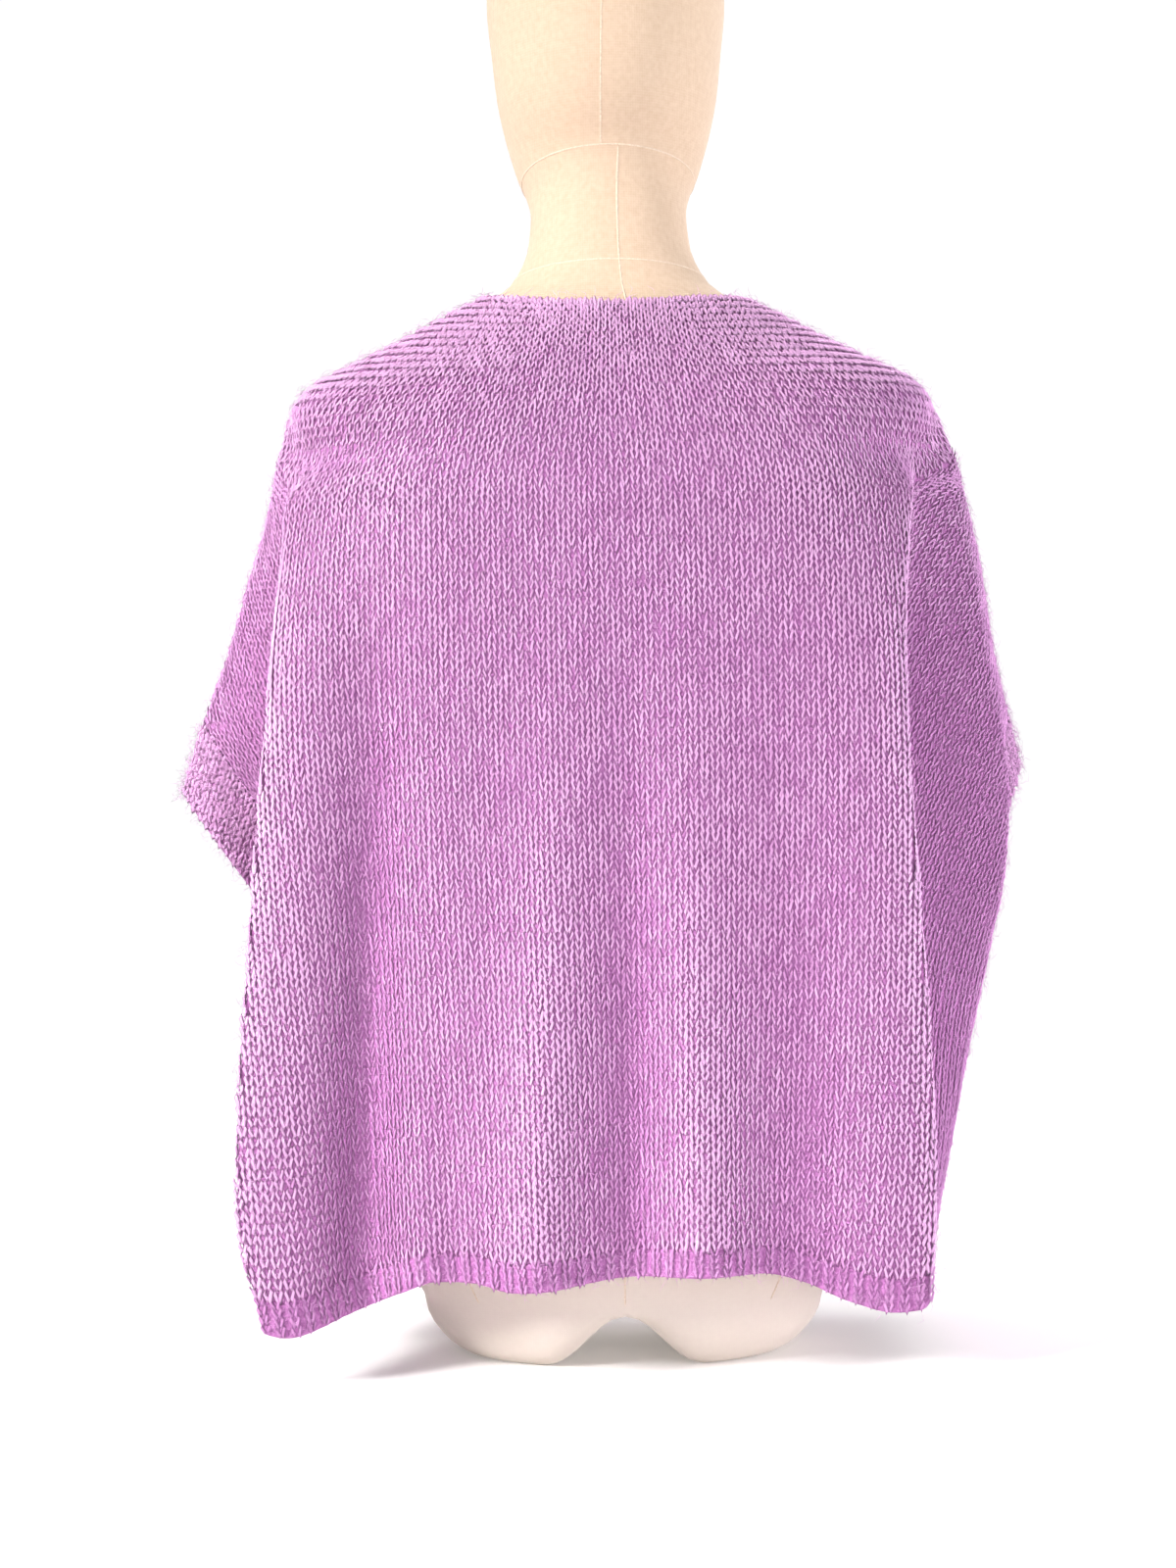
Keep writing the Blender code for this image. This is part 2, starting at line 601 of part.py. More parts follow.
def new_material(name, colour, roughness):
    material = bpy.data.materials.new(name)
    material.use_nodes = True
    shader = material.node_tree.nodes["Principled BSDF"]
    shader.inputs["Base Color"].default_value = colour
    shader.inputs["Roughness"].default_value = roughness
    shader.inputs["Metallic"].default_value = 0.0
    material.diffuse_color = colour
    return material


def add_object(collection, name, points, faces, finish):
    """One closed body in metres, its faces turned outwards and shaded smooth."""
    mesh = bpy.data.meshes.new(name)
    mesh.from_pydata((points * CM).tolist(), [], faces)
    body = bmesh.new()
    body.from_mesh(mesh)
    bmesh.ops.recalc_face_normals(body, faces=body.faces)
    body.to_mesh(mesh)
    body.free()
    mesh.shade_smooth()
    mesh.materials.append(new_material(name + "_finish", *finish))
    collection.objects.link(bpy.data.objects.new(name, mesh))


def main():
    for old in list(bpy.data.objects):
        bpy.data.objects.remove(old)
    collection = bpy.data.collections.new(COLLECTION)
    bpy.context.scene.collection.children.link(collection)
    pieces = vest_pieces()
    pieces["dress_form"] = dress_form()
    everything = np.concatenate([points for points, _ in pieces.values()])
    middle = (everything.min(axis=0) + everything.max(axis=0)) / 2
    middle[2] = 0
    for name, (points, faces) in pieces.items():
        finish = LILAC_RIB if "band" in name else LILAC_KNIT
        if name == "dress_form":
            finish = CREAM_LINEN
        add_object(collection, name, points - middle, faces, finish)


main()
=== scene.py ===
"""Looks of a knitted sweater vest with winged shoulders, worn on a limbless dress form.

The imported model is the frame. Metres, +Z up, and the wearer's back faces -Y, towards the camera.
The tables hold centimetres from the form's own axis, as the solids' source does, and every mesh is
moved to the frame's place when it is made. Left and right are as the camera sees them.
"""

import logging
from dataclasses import dataclass, field, fields
from enum import Enum
from functools import reduce
from typing import NamedTuple

import bpy
import numpy as np
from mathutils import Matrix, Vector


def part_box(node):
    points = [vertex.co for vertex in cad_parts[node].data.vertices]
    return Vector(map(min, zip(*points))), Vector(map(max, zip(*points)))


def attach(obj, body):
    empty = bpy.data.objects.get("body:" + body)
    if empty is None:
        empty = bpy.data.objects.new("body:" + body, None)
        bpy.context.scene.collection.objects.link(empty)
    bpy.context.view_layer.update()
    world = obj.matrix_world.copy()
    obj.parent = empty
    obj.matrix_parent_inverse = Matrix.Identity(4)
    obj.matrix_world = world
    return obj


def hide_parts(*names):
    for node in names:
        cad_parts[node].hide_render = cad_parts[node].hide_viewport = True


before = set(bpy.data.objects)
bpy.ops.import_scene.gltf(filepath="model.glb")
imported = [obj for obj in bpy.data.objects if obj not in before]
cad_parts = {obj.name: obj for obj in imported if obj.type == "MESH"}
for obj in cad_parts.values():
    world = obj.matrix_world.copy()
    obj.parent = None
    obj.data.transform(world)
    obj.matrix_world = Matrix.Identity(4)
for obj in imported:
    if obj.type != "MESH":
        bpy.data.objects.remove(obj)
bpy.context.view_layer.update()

CM = 0.01
MM_IN_METRE = 1000.0
TINY = 1e-9  # keeps a division from meeting zero
JUST_INSIDE = 0.001  # keeps a place inside a grid's last square
LEAST_STEP = 0.000001  # keeps lengths rising, so that a place can be found among them
MOSTLY = 0.99  # share of knitted neighbours that makes a place knitted
WAVE_BANDS = 20 / (2 * np.pi)  # bands of a wave texture to a unit of length at scale 1
NOISE_RANGE = (0.3, 0.7)  # where nearly all of a noise texture's values lie
ROOT = "root"
LOG = logging.getLogger("sweater_vest")
Array = np.ndarray
Place = tuple[float, float, float]
Material = bpy.types.Material
Node = bpy.types.Node
Piece = bpy.types.Object
Socket = bpy.types.NodeSocket
Tree = bpy.types.NodeTree


class Face(Enum):
    """The two knitted panels, with the way along Y that each one faces."""

    BACK = -1.0
    FRONT = 1.0


class Side(Enum):
    """The two sides of the vest, with the way along X that each one lies."""

    LEFT = -1.0
    RIGHT = 1.0


class FormSection(NamedTuple):
    """Plan of the dress form at one height, in centimetres."""

    height: float
    half_width: float
    back: float
    front: float
    widest: float
    squareness: float


class Section(NamedTuple):
    """A hanging fold at one level: its crest, the trough behind it and the side of the wing."""

    height: float
    crest_x: float
    crest_y: float
    trough_x: float
    trough_y: float
    side_x: float
    side_y: float


class Edge(NamedTuple):
    """Seam between front and back at one level."""

    height: float
    x: float
    y: float


class Centre(NamedTuple):
    """Depth of a panel's middle at one level."""

    height: float
    y: float


class Wave(NamedTuple):
    """A soft wave: its place at the hem and at its top, its top level, half width and height."""

    low_x: float
    high_x: float
    top: float
    half_width: float
    out: float


class Dip(NamedTuple):
    """How far an edge lies above its level at a place across the row."""

    across: float
    rise: float


def rows_of(kind: type, *rows: tuple[float, ...]) -> tuple:
    """Rows of one table, each as the given kind of row."""
    return tuple(kind(*row) for row in rows)


FORM_SECTIONS = rows_of(
    FormSection,
    (4.0, 13.5, 10.2, 8.0, -0.5, 2.3), (6.0, 14.6, 11.3, 8.4, -0.5, 2.3),
    (9.0, 16.0, 12.5, 8.8, -0.5, 2.3), (12.5, 16.9, 12.9, 9.1, -0.5, 2.3),
    (16.0, 17.0, 12.7, 9.3, -0.5, 2.3), (20.0, 16.4, 11.6, 9.4, -0.3, 2.3),
    (25.0, 14.9, 9.7, 9.3, 0.0, 2.3), (30.0, 13.3, 8.4, 9.2, 0.0, 2.3),
    (35.0, 12.5, 8.0, 9.3, 0.0, 2.3), (40.0, 12.9, 8.4, 9.9, 0.0, 2.3),
    (44.0, 14.0, 9.2, 11.2, 0.0, 2.3), (48.0, 15.3, 10.0, 12.3, 0.0, 2.3),
    (52.0, 16.5, 10.7, 12.4, 0.0, 2.3), (56.0, 17.9, 11.1, 11.2, 0.0, 2.4),
    (59.5, 19.4, 11.05, 9.7, 0.0, 2.5), (62.0, 21.1, 10.75, 8.6, 0.0, 2.55),
    (63.4, 21.2, 10.45, 8.0, 0.0, 2.45), (64.7, 20.3, 10.05, 7.5, 0.0, 2.3),
    (66.0, 17.9, 9.5, 7.0, 0.0, 2.1), (67.4, 15.0, 8.8, 6.5, 0.0, 2.05),
    (68.8, 12.4, 7.95, 6.1, 0.0, 2.0), (70.2, 9.7, 6.9, 5.8, 0.1, 2.0),
    (71.4, 7.3, 6.3, 5.7, 0.2, 2.0), (72.8, 6.2, 5.8, 5.7, 0.3, 2.0), (74.4, 5.55, 5.4, 5.9, 0.5, 2.0),
    (76.8, 5.3, 5.1, 6.3, 0.6, 2.0), (78.3, 5.6, 5.1, 8.2, 2.0, 2.0), (79.6, 6.15, 5.3, 9.3, 2.4, 2.0),
    (81.0, 6.6, 5.9, 9.9, 2.2, 2.0), (82.6, 7.05, 7.0, 10.2, 1.7, 2.0),
    (84.8, 7.5, 8.1, 10.2, 1.2, 2.0), (87.6, 7.8, 8.9, 10.0, 0.9, 2.0),
    (91.0, 8.1, 9.3, 9.7, 0.6, 2.0), (94.3, 7.9, 9.0, 9.2, 0.4, 2.0), (97.0, 6.9, 7.8, 7.9, 0.3, 2.0),
    (99.0, 5.1, 5.7, 5.8, 0.2, 2.0), (100.1, 3.0, 3.3, 3.4, 0.2, 2.0),
)
SECTIONS = {
    (Face.BACK, Side.LEFT): rows_of(
        Section,
        (6.0, 23.1, -14.0, 21.0, -6.9, 20.2, -2.6), (13.0, 24.6, -13.5, 21.2, -6.5, 19.4, -2.2),
        (20.0, 24.35, -13.0, 20.5, -6.1, 18.3, -1.8), (27.0, 23.75, -12.5, 19.6, -5.9, 17.8, -1.9),
        (32.0, 23.4, -12.1, 19.8, -6.2, 20.4, -3.2), (37.0, 23.0, -11.6, 20.4, -6.3, 22.8, -3.3),
        (42.5, 22.55, -10.8, 20.9, -6.1, 24.9, -2.9), (47.0, 22.25, -9.7, 21.0, -5.6, 24.2, -2.6),
        (52.0, 21.85, -7.9, 21.2, -4.8, 23.5, -2.2), (57.0, 21.6, -5.6, 21.4, -3.9, 22.6, -1.8),
        (61.5, 21.2, -3.4, 21.5, -2.4, 21.9, -1.2),
    ),
    (Face.BACK, Side.RIGHT): rows_of(
        Section,
        (6.0, 19.4, -13.4, 18.8, -9.4, 20.6, -2.2), (13.0, 19.8, -13.0, 19.0, -8.7, 22.0, -2.0),
        (20.0, 19.7, -12.6, 18.7, -8.1, 23.5, -1.4), (27.0, 19.35, -12.4, 18.3, -7.9, 25.2, -0.6),
        (32.0, 19.05, -12.2, 18.1, -7.7, 26.3, -0.2), (37.0, 18.8, -11.9, 18.0, -7.5, 26.6, -0.3),
        (42.5, 18.65, -11.3, 18.0, -7.0, 25.9, -1.5), (47.0, 18.65, -10.5, 18.2, -6.5, 25.0, -2.0),
        (52.0, 19.0, -9.1, 18.8, -5.6, 24.3, -1.9), (57.0, 19.7, -6.6, 19.7, -4.4, 23.3, -1.7),
        (61.5, 20.9, -3.6, 21.2, -2.5, 22.2, -1.2),
    ),
    (Face.FRONT, Side.LEFT): rows_of(
        Section,
        (6.0, 22.6, 11.9, 20.3, 7.2, 19.9, 3.2), (13.0, 23.5, 11.4, 20.5, 6.6, 19.2, 3.0),
        (20.0, 23.6, 11.0, 20.2, 6.3, 18.2, 3.0), (27.0, 23.3, 10.6, 19.5, 6.3, 17.7, 3.2),
        (32.0, 23.0, 10.3, 19.6, 6.7, 20.2, 4.2), (37.0, 22.6, 9.9, 20.1, 6.7, 22.6, 4.2),
        (42.5, 22.3, 9.3, 20.6, 6.4, 24.8, 3.5), (47.0, 22.1, 8.4, 20.8, 5.9, 24.1, 3.0),
        (52.0, 21.8, 7.0, 21.0, 5.1, 23.4, 2.5), (57.0, 21.5, 5.2, 21.3, 4.0, 22.5, 2.0),
        (61.5, 21.1, 3.5, 21.4, 2.5, 21.9, 1.3),
    ),
    (Face.FRONT, Side.RIGHT): rows_of(
        Section,
        (6.0, 20.6, 12.0, 20.0, 8.4, 20.6, 4.6), (13.0, 21.3, 11.6, 20.5, 8.0, 21.4, 5.0),
        (20.0, 21.6, 11.3, 20.7, 8.4, 21.7, 6.4), (27.0, 21.5, 11.0, 20.5, 9.0, 20.8, 7.8),
        (32.0, 21.2, 10.8, 20.4, 9.2, 21.3, 8.4), (37.0, 20.8, 10.5, 20.2, 9.0, 22.5, 8.0),
        (42.5, 20.5, 9.8, 20.1, 8.2, 24.0, 6.9), (47.0, 20.4, 8.8, 20.2, 7.3, 23.3, 5.9),
        (52.0, 20.6, 7.3, 20.5, 5.9, 22.9, 4.4), (57.0, 20.8, 5.4, 20.8, 4.3, 22.5, 2.8),
        (61.5, 21.1, 3.6, 21.3, 2.6, 22.1, 1.3),
    ),
}
SIDE_AND_SLEEVE_EDGE = {
    Side.LEFT: rows_of(
        Edge,
        (6.0, 20.6, 0.5), (13.0, 19.4, 0.7), (20.0, 18.0, 0.8), (27.0, 17.2, 0.9), (32.0, 20.7, 0.8),
        (37.0, 24.3, 0.6), (42.5, 28.1, 0.4),
    ),
    Side.RIGHT: rows_of(
        Edge,
        (6.0, 20.7, 1.4), (13.0, 21.9, 2.2), (20.0, 22.1, 4.2), (27.0, 21.0, 6.3), (32.0, 22.9, 6.0),
        (37.0, 25.0, 5.4), (42.5, 27.1, 4.2),
    ),
}
SHOULDER_EDGE = {
    Side.LEFT: rows_of(
        Edge,
        (42.5, 28.1, 0.4), (47.0, 26.4, 0.3), (52.0, 24.85, 0.2), (57.0, 23.35, 0.1),
        (61.5, 22.5, 0.0),
    ),
    Side.RIGHT: rows_of(
        Edge,
        (42.5, 27.1, 4.2), (47.0, 26.0, 3.0), (52.0, 25.2, 1.8), (57.0, 24.1, 0.7), (61.5, 23.0, 0.0),
    ),
}
CENTRES = {
    Face.BACK: rows_of(
        Centre,
        (6.0, -14.5), (13.0, -14.1), (20.0, -13.7), (30.0, -13.2), (40.0, -12.8), (50.0, -12.5),
        (56.0, -12.1), (61.5, -11.3),
    ),
    Face.FRONT: rows_of(
        Centre,
        (6.0, 14.3), (13.0, 14.1), (20.0, 14.0), (30.0, 13.9), (40.0, 13.8), (50.0, 13.4),
        (56.0, 12.2), (61.5, 9.6),
    ),
}
WAVES = {
    Face.BACK: rows_of(
        Wave,
        (-16.6, -14.9, 66.0, 2.6, -2.9), (-10.9, -12.0, 38.0, 1.5, -0.5), (-5.6, -2.2, 58.0, 2.6, 1.6),
        (0.8, 1.0, 50.0, 1.8, -0.7), (5.1, 4.6, 58.0, 2.5, 1.3), (11.6, 12.2, 62.0, 3.4, -0.9),
    ),
    Face.FRONT: rows_of(
        Wave,
        (-16.0, -14.5, 48.0, 2.5, -1.1), (-10.5, -9.5, 44.0, 2.6, 0.8), (-4.5, -4.0, 40.0, 2.4, -0.8),
        (1.5, 0.5, 36.0, 2.6, 0.7), (6.8, 6.0, 42.0, 2.3, -1.0), (12.0, 10.5, 46.0, 2.6, 0.8),
        (17.0, 15.5, 50.0, 2.0, -0.7),
    ),
}
HEM_DIPS = {
    Face.BACK: rows_of(
        Dip,
        (-1.0, -1.9), (-0.66, -1.6), (-0.5, -2.2), (-0.43, -2.7), (-0.36, -1.6), (-0.3, -0.1),
        (-0.25, 0.7), (-0.2, 0.65), (-0.15, 0.2), (-0.1, 0.3), (0.0, 0.85), (0.21, 1.0), (0.29, 0.2),
        (0.35, -0.95), (0.41, -1.65), (0.46, -1.5), (0.52, -0.6), (0.66, -0.2), (1.0, -0.4),
    ),
    Face.FRONT: rows_of(
        Dip,
        (-1.0, -1.9), (-0.66, -1.7), (-0.5, -2.2), (-0.3, -0.6), (-0.1, 0.3), (0.1, 0.1), (0.3, -0.2),
        (0.5, -1.5), (0.66, -0.9), (1.0, -0.4),
    ),
}
NECK_RISES = {
    Face.BACK: rows_of(Dip, (-1.0, 0.9), (-0.45, 0.2), (0.0, -0.6), (0.45, 0.0), (1.0, 0.3)),
    Face.FRONT: rows_of(Dip, (-1.0, 0.9), (-0.5, -1.7), (0.0, -3.3), (0.5, -1.9), (1.0, 0.3)),
}
# The way that each armhole opens between the two panels' edges.
ARM_GAP_WAYS = {Side.LEFT: (0.0, 1.0), Side.RIGHT: (-0.44, 0.9)}
# The way that each armhole band runs on from the wing, at the wing's tip and at the underarm.
ARM_BAND_WAYS = {
    Side.LEFT: ((-0.37, 0.0, -1.2), (-0.5, 0.0, -0.86)),
    Side.RIGHT: ((0.26, 0.41, -0.87), (0.15, 0.5, -0.85)),
}
COLUMN_KNOTS = np.array([0.0, 0.3, 0.5, 0.66, 0.82, 1.0])
TROUGH = COLUMN_KNOTS[3]


def smooth_through(knots: Array, values: Array, at: Array) -> Array:
    """Cubic through the knots that never overshoots them.

    Args:
        knots: rising places of the known values.
        values: one row of known values for each knot.
        at: places to read.

    Returns:
        One row of values for each place.
    """
    knots = np.asarray(knots, float)
    values = np.asarray(values, float).reshape(len(knots), -1)
    at = np.clip(np.asarray(at, float), knots[0], knots[-1])
    step = np.diff(knots)[:, None]
    slope = np.diff(values, axis=0) / step
    before, after = slope[:-1], slope[1:]
    same_way = before * after > 0
    near, far = 2 * step[1:] + step[:-1], step[1:] + 2 * step[:-1]
    weighted = np.where(same_way, near * after + far * before, 1.0)
    inner = np.where(same_way, (near + far) * before * after / weighted, 0.0)
    tangent = np.vstack([slope[:1], inner, slope[-1:]])
    i = np.clip(np.searchsorted(knots, at, side="right") - 1, 0, len(step) - 1)
    t = ((at - knots[i]) / step[i, 0])[..., None]
    rise = step[i] * (t**3 - 2 * t**2 + t) * tangent[i] + step[i] * (t**3 - t**2) * tangent[i + 1]
    return (1 - t) ** 2 * (1 + 2 * t) * values[i] + t**2 * (3 - 2 * t) * values[i + 1] + rise


def table_at(table: tuple, heights: Array) -> Array:
    """Columns of a table after its first, read at the given heights."""
    rows = np.array(table)
    return smooth_through(rows[:, 0], rows[:, 1:], heights)


def ease(low: Array, high: Array, value: Array) -> Array:
    """0 below low and 1 above high: three times the share's square less twice its cube between."""
    t = np.clip((np.asarray(value, float) - low) / (high - low), 0, 1)
    return t * t * (3 - 2 * t)


def unit(vectors: Array) -> Array:
    """The vectors at length one."""
    return vectors / np.maximum(np.linalg.norm(vectors, axis=-1, keepdims=True), TINY)


def arc_lengths(points: Array, axis: int) -> Array:
    """Length run along a grid of points: the sum of the steps from its start.

    Args:
        points: a grid of points, with xyz as its last axis.
        axis: the axis to run along.

    Returns:
        One length for each point, 0 at the start.
    """
    steps = np.linalg.norm(np.diff(points, axis=axis), axis=-1)
    start = np.zeros_like(np.take(steps, [0], axis=axis))
    return np.concatenate([start, np.cumsum(steps, axis=axis)], axis=axis)


def places_in_rows(values: Array, wanted: Array) -> Array:
    """Where each wanted value lies along its row of rising values, counted in columns.

    Args:
        values: rows by columns, rising along each row.
        wanted: rows by any number of values to find in the same row.

    Returns:
        A place for each wanted value, clipped to the row's ends.
    """
    rows, columns = values.shape
    wanted = np.clip(wanted, values[:, :1], values[:, -1:])
    apart = (values.max() - values.min() + 1.0) * np.arange(rows)[:, None]
    flat = (values + apart).ravel()
    found = np.searchsorted(flat, (wanted + apart).ravel(), side="right").reshape(wanted.shape)
    before = np.clip(found - 1 - columns * np.arange(rows)[:, None], 0, columns - 2)
    low = np.take_along_axis(values, before, axis=1)
    high = np.take_along_axis(values, before + 1, axis=1)
    return before + np.clip((wanted - low) / np.maximum(high - low, TINY), 0, 1)


def read_grid(grid: Array, row: Array, column: Array) -> Array:
    """Values between a grid's points, mixed from the four round each place by its share of the way.

    Args:
        grid: rows by columns, of numbers or of vectors.
        row: rows to read, with fractions.
        column: columns to read, with fractions.

    Returns:
        One value for each place, clipped to the grid's edges.
    """
    row = np.clip(row, 0, grid.shape[0] - (1 + JUST_INSIDE))
    column = np.clip(column, 0, grid.shape[1] - (1 + JUST_INSIDE))
    i, j = row.astype(int), column.astype(int)
    s, t = row - i, column - j
    if grid.ndim == 3:
        s, t = s[..., None], t[..., None]
    low = (1 - t) * grid[i, j] + t * grid[i, j + 1]
    high = (1 - t) * grid[i + 1, j] + t * grid[i + 1, j + 1]
    return (1 - s) * low + s * high


@dataclass
class FormShape:
    """Surface of the limbless form: rounded plans at named heights, in centimetres."""

    sections: tuple = FORM_SECTIONS
    top: float = 100.5
    arch_height: float = 3.3
    arch_half_width: float = 5.6

    def points(self, height: Array, angle: Array) -> Array:
        """Points of the surface: at each height a squared ellipse, in which the cosine and the sine
        of the angle, each raised to 2 over the squareness, are shares of its half width and reach.

        Args:
            height: heights up the form.
            angle: angles round it, 0 at +X and a quarter turn at the front.

        Returns:
            A point for each height and angle.
        """
        height, angle = np.broadcast_arrays(height, angle)
        columns = np.moveaxis(table_at(self.sections, height), -1, 0)
        half_width, back, front, widest, squareness = columns
        power = 2 / squareness
        across, along = np.cos(angle), np.sin(angle)
        reach = np.where(along > 0, front - widest, back + widest)
        x = half_width * np.sign(across) * np.abs(across) ** power
        y = widest + reach * np.sign(along) * np.abs(along) ** power
        return np.stack([x, y, height], axis=-1)

    def offset(self, height: Array, angle: Array, distance: float) -> Array:
        """Points moved off the surface along its normal, the cross product of its two tangents.

        Args:
            height: heights up the form.
            angle: angles round it.
            distance: how far outside the surface.

        Returns:
            A point for each height and angle.
        """
        step = 0.01
        up = self.points(height + step, angle) - self.points(height - step, angle)
        round_it = self.points(height, angle + step) - self.points(height, angle - step)
        return self.points(height, angle) + distance * unit(np.cross(round_it, up))

    def place(self) -> Array:
        """Where the tables' axis stands in the frame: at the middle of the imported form's width, its
        deepest front behind the box's front, and its foot on the box's floor.

        Returns:
            The shift in metres.
        """
        low, high = (np.array(corner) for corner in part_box("dress_form"))
        deepest = max(section.front for section in self.sections) * CM
        return np.array([(low[0] + high[0]) / 2, high[1] - deepest, low[2]])


@dataclass
class VestShape:
    """Outer surface of the vest: loose folds below, and snug on the form's shoulders.

    A level is the height that a row would have if the hem and the neckline were straight. The
    loose cloth ends and the snug cloth begins at levels that lie higher towards the sides: each
    is a level at the middle and what is added to it at the edge.
    """

    form: FormShape
    snug_distance: float = 0.37
    hem: float = 6.0
    band_depth: float = 1.9
    underarm: float = 27.0
    wing_tip: float = 42.5
    neck: float = 70.0
    arm_half_gap: float = 1.7
    flat_reach: float = 0.62
    flat_bow: float = 0.12
    hem_dips_top: float = 26.0
    neck_rises_foot: float = 58.0
    edge_curve: float = 1.5
    waves_fade: tuple[float, float] = (0.42, 0.56)
    shoulder_turn: float = 1.35
    loose_end: tuple[float, float] = (55.5, 5.0)
    snug_start: tuple[float, float] = (61.8, 2.9)

    def edge(self, side: Side, level: Array) -> Array:
        """Middle of the seam or the sleeve opening, from one table below the wing's tip and from
        another above it.

        Args:
            side: the side of the vest.
            level: levels to read.

        Returns:
            Its x and y at each level.
        """
        below = table_at(SIDE_AND_SLEEVE_EDGE[side], level)
        above = table_at(SHOULDER_EDGE[side], level)
        return np.where(level[..., None] < self.wing_tip, below, above)

    def hanging_half(self, face: Face, side: Side, level: Array, across: Array) -> tuple[Array, Array]:
        """Plan of one loose half row: a smooth curve through its middle, crest, trough and side.

        One more knot past each end, mirrored at the middle and at a seam, lets the row cross
        those squarely. At the sleeve opening the row runs straight on.

        Args:
            face: the panel.
            side: its left or right half.
            level: one level for each row.
            across: shares of the way from the middle to the edge.

        Returns:
            The x and y of rows by places.
        """
        crest_x, crest_y, trough_x, trough_y, side_x, side_y = table_at(SECTIONS[face, side], level).T
        centre_y = table_at(CENTRES[face], level)[:, 0]
        share = np.clip((level - self.underarm) / (self.wing_tip - self.underarm), 0, 1)
        gap = self.arm_half_gap * 2 * np.sqrt(share * (1 - share))
        gap_way = np.array(ARM_GAP_WAYS[side])[:, None]
        edge_x, edge_y = self.edge(side, level).T + face.value * gap * gap_way
        seamed = (level <= self.underarm) | (level >= self.wing_tip)
        past_edge_x = np.where(seamed, side_x, 2 * edge_x - side_x)
        flat_x = self.flat_reach * crest_x
        flat_y = centre_y + self.flat_bow * (crest_y - centre_y)
        x_knots = (-flat_x, 0 * flat_x, flat_x, crest_x, trough_x, side_x, edge_x, past_edge_x)
        y_knots = (flat_y, centre_y, flat_y, crest_y, trough_y, side_y, edge_y, 2 * edge_y - side_y)
        mirrored = np.concatenate([[-COLUMN_KNOTS[1]], COLUMN_KNOTS, [2 - COLUMN_KNOTS[-2]]])
        x = smooth_through(mirrored, np.array(x_knots), across).T
        y = smooth_through(mirrored, np.array(y_knots), across).T
        return side.value * x, y

    def waves(self, face: Face, x: Array, height: Array) -> Array:
        """How far the soft waves push the cloth out: each is a bell across the row, which leans and
        fades from the hem to its own top.

        Args:
            face: the panel.
            x: places across.
            height: their heights.

        Returns:
            A distance for each place.
        """
        out = np.zeros_like(x)
        for wave in WAVES[face]:
            share = np.clip((height - self.hem) / (wave.top - self.hem), 0, 1)
            middle = wave.low_x + (wave.high_x - wave.low_x) * share
            out += wave.out * (1 - ease(0, 1, share)) * np.exp(-(((x - middle) / wave.half_width) ** 2))
        return out

    def surface(self, face: Face, levels: Array, across: Array) -> Array:
        """Outer surface of one panel: the loose cloth below, mixed by level into the form's own
        surface moved out by the snug distance.

        Args:
            face: the panel.
            levels: one level for each row.
            across: shares of the way from the middle to the edges, -1 at the left.

        Returns:
            Rows by columns by xyz, in centimetres.
        """
        hanging = np.zeros((len(levels), len(across), 2))
        for side in Side:
            mine = across * side.value >= 0
            x, y = self.hanging_half(face, side, levels, np.abs(across[mine]))
            hanging[:, mine, 0], hanging[:, mine, 1] = x, y
        level = levels[:, None] + 0 * across
        dips, rises = table_at(HEM_DIPS[face], across)[:, 0], table_at(NECK_RISES[face], across)[:, 0]
        end, start = self.hem_dips_top, self.neck_rises_foot
        low = np.clip((end - level) / (end - self.hem), 0, None) ** self.edge_curve
        high = np.clip((level - start) / (self.neck - start), 0, 1) ** self.edge_curve
        height = level + dips * low + rises * high
        flat_part = 1 - ease(*self.waves_fade, np.abs(across))
        hanging[..., 1] += face.value * flat_part * self.waves(face, hanging[..., 0], height)
        loose = np.concatenate([hanging, height[..., None]], axis=-1)
        turn = np.pi / 2 * np.sign(across) * (1 - (1 - np.abs(across)) ** self.shoulder_turn)
        angle = face.value * (np.pi / 2 - turn)
        snug = self.form.offset(height, angle + 0 * level, self.snug_distance)
        ends = [middle + higher * across**2 for middle, higher in (self.loose_end, self.snug_start)]
        share = ease(*ends, level)[..., None]
        return (1 - share) * loose + share * snug


@dataclass
class ClothGrid:
    """A sampled stretch of cloth: points, outward normals and the length run along each row."""

    points: Array
    normals: Array
    run: Array
    levels: Array

    @classmethod
    def of_panel(cls, shape: VestShape, face: Face, levels: Array, across: Array) -> "ClothGrid":
        """Sample one panel. Normals are the cross product of the grid's two slopes.

        Args:
            shape: the vest's surface.
            face: the panel.
            levels: one level for each row.
            across: shares of the way from the middle to the edges.

        Returns:
            The grid, whose run is 0 at the panel's middle and rises with X.
        """
        points = shape.surface(face, levels, across)
        along, up = np.gradient(points, axis=1), np.gradient(points, axis=0)
        run = arc_lengths(points, axis=1)
        run -= run[:, [len(across) // 2]]
        return cls(points, unit(np.cross(along, up) * -face.value), run, levels)

    def read(self, row: Array, column: Array) -> tuple[Array, Array]:
        """Points and unit normals between the grid's points."""
        return read_grid(self.points, row, column), unit(read_grid(self.normals, row, column))


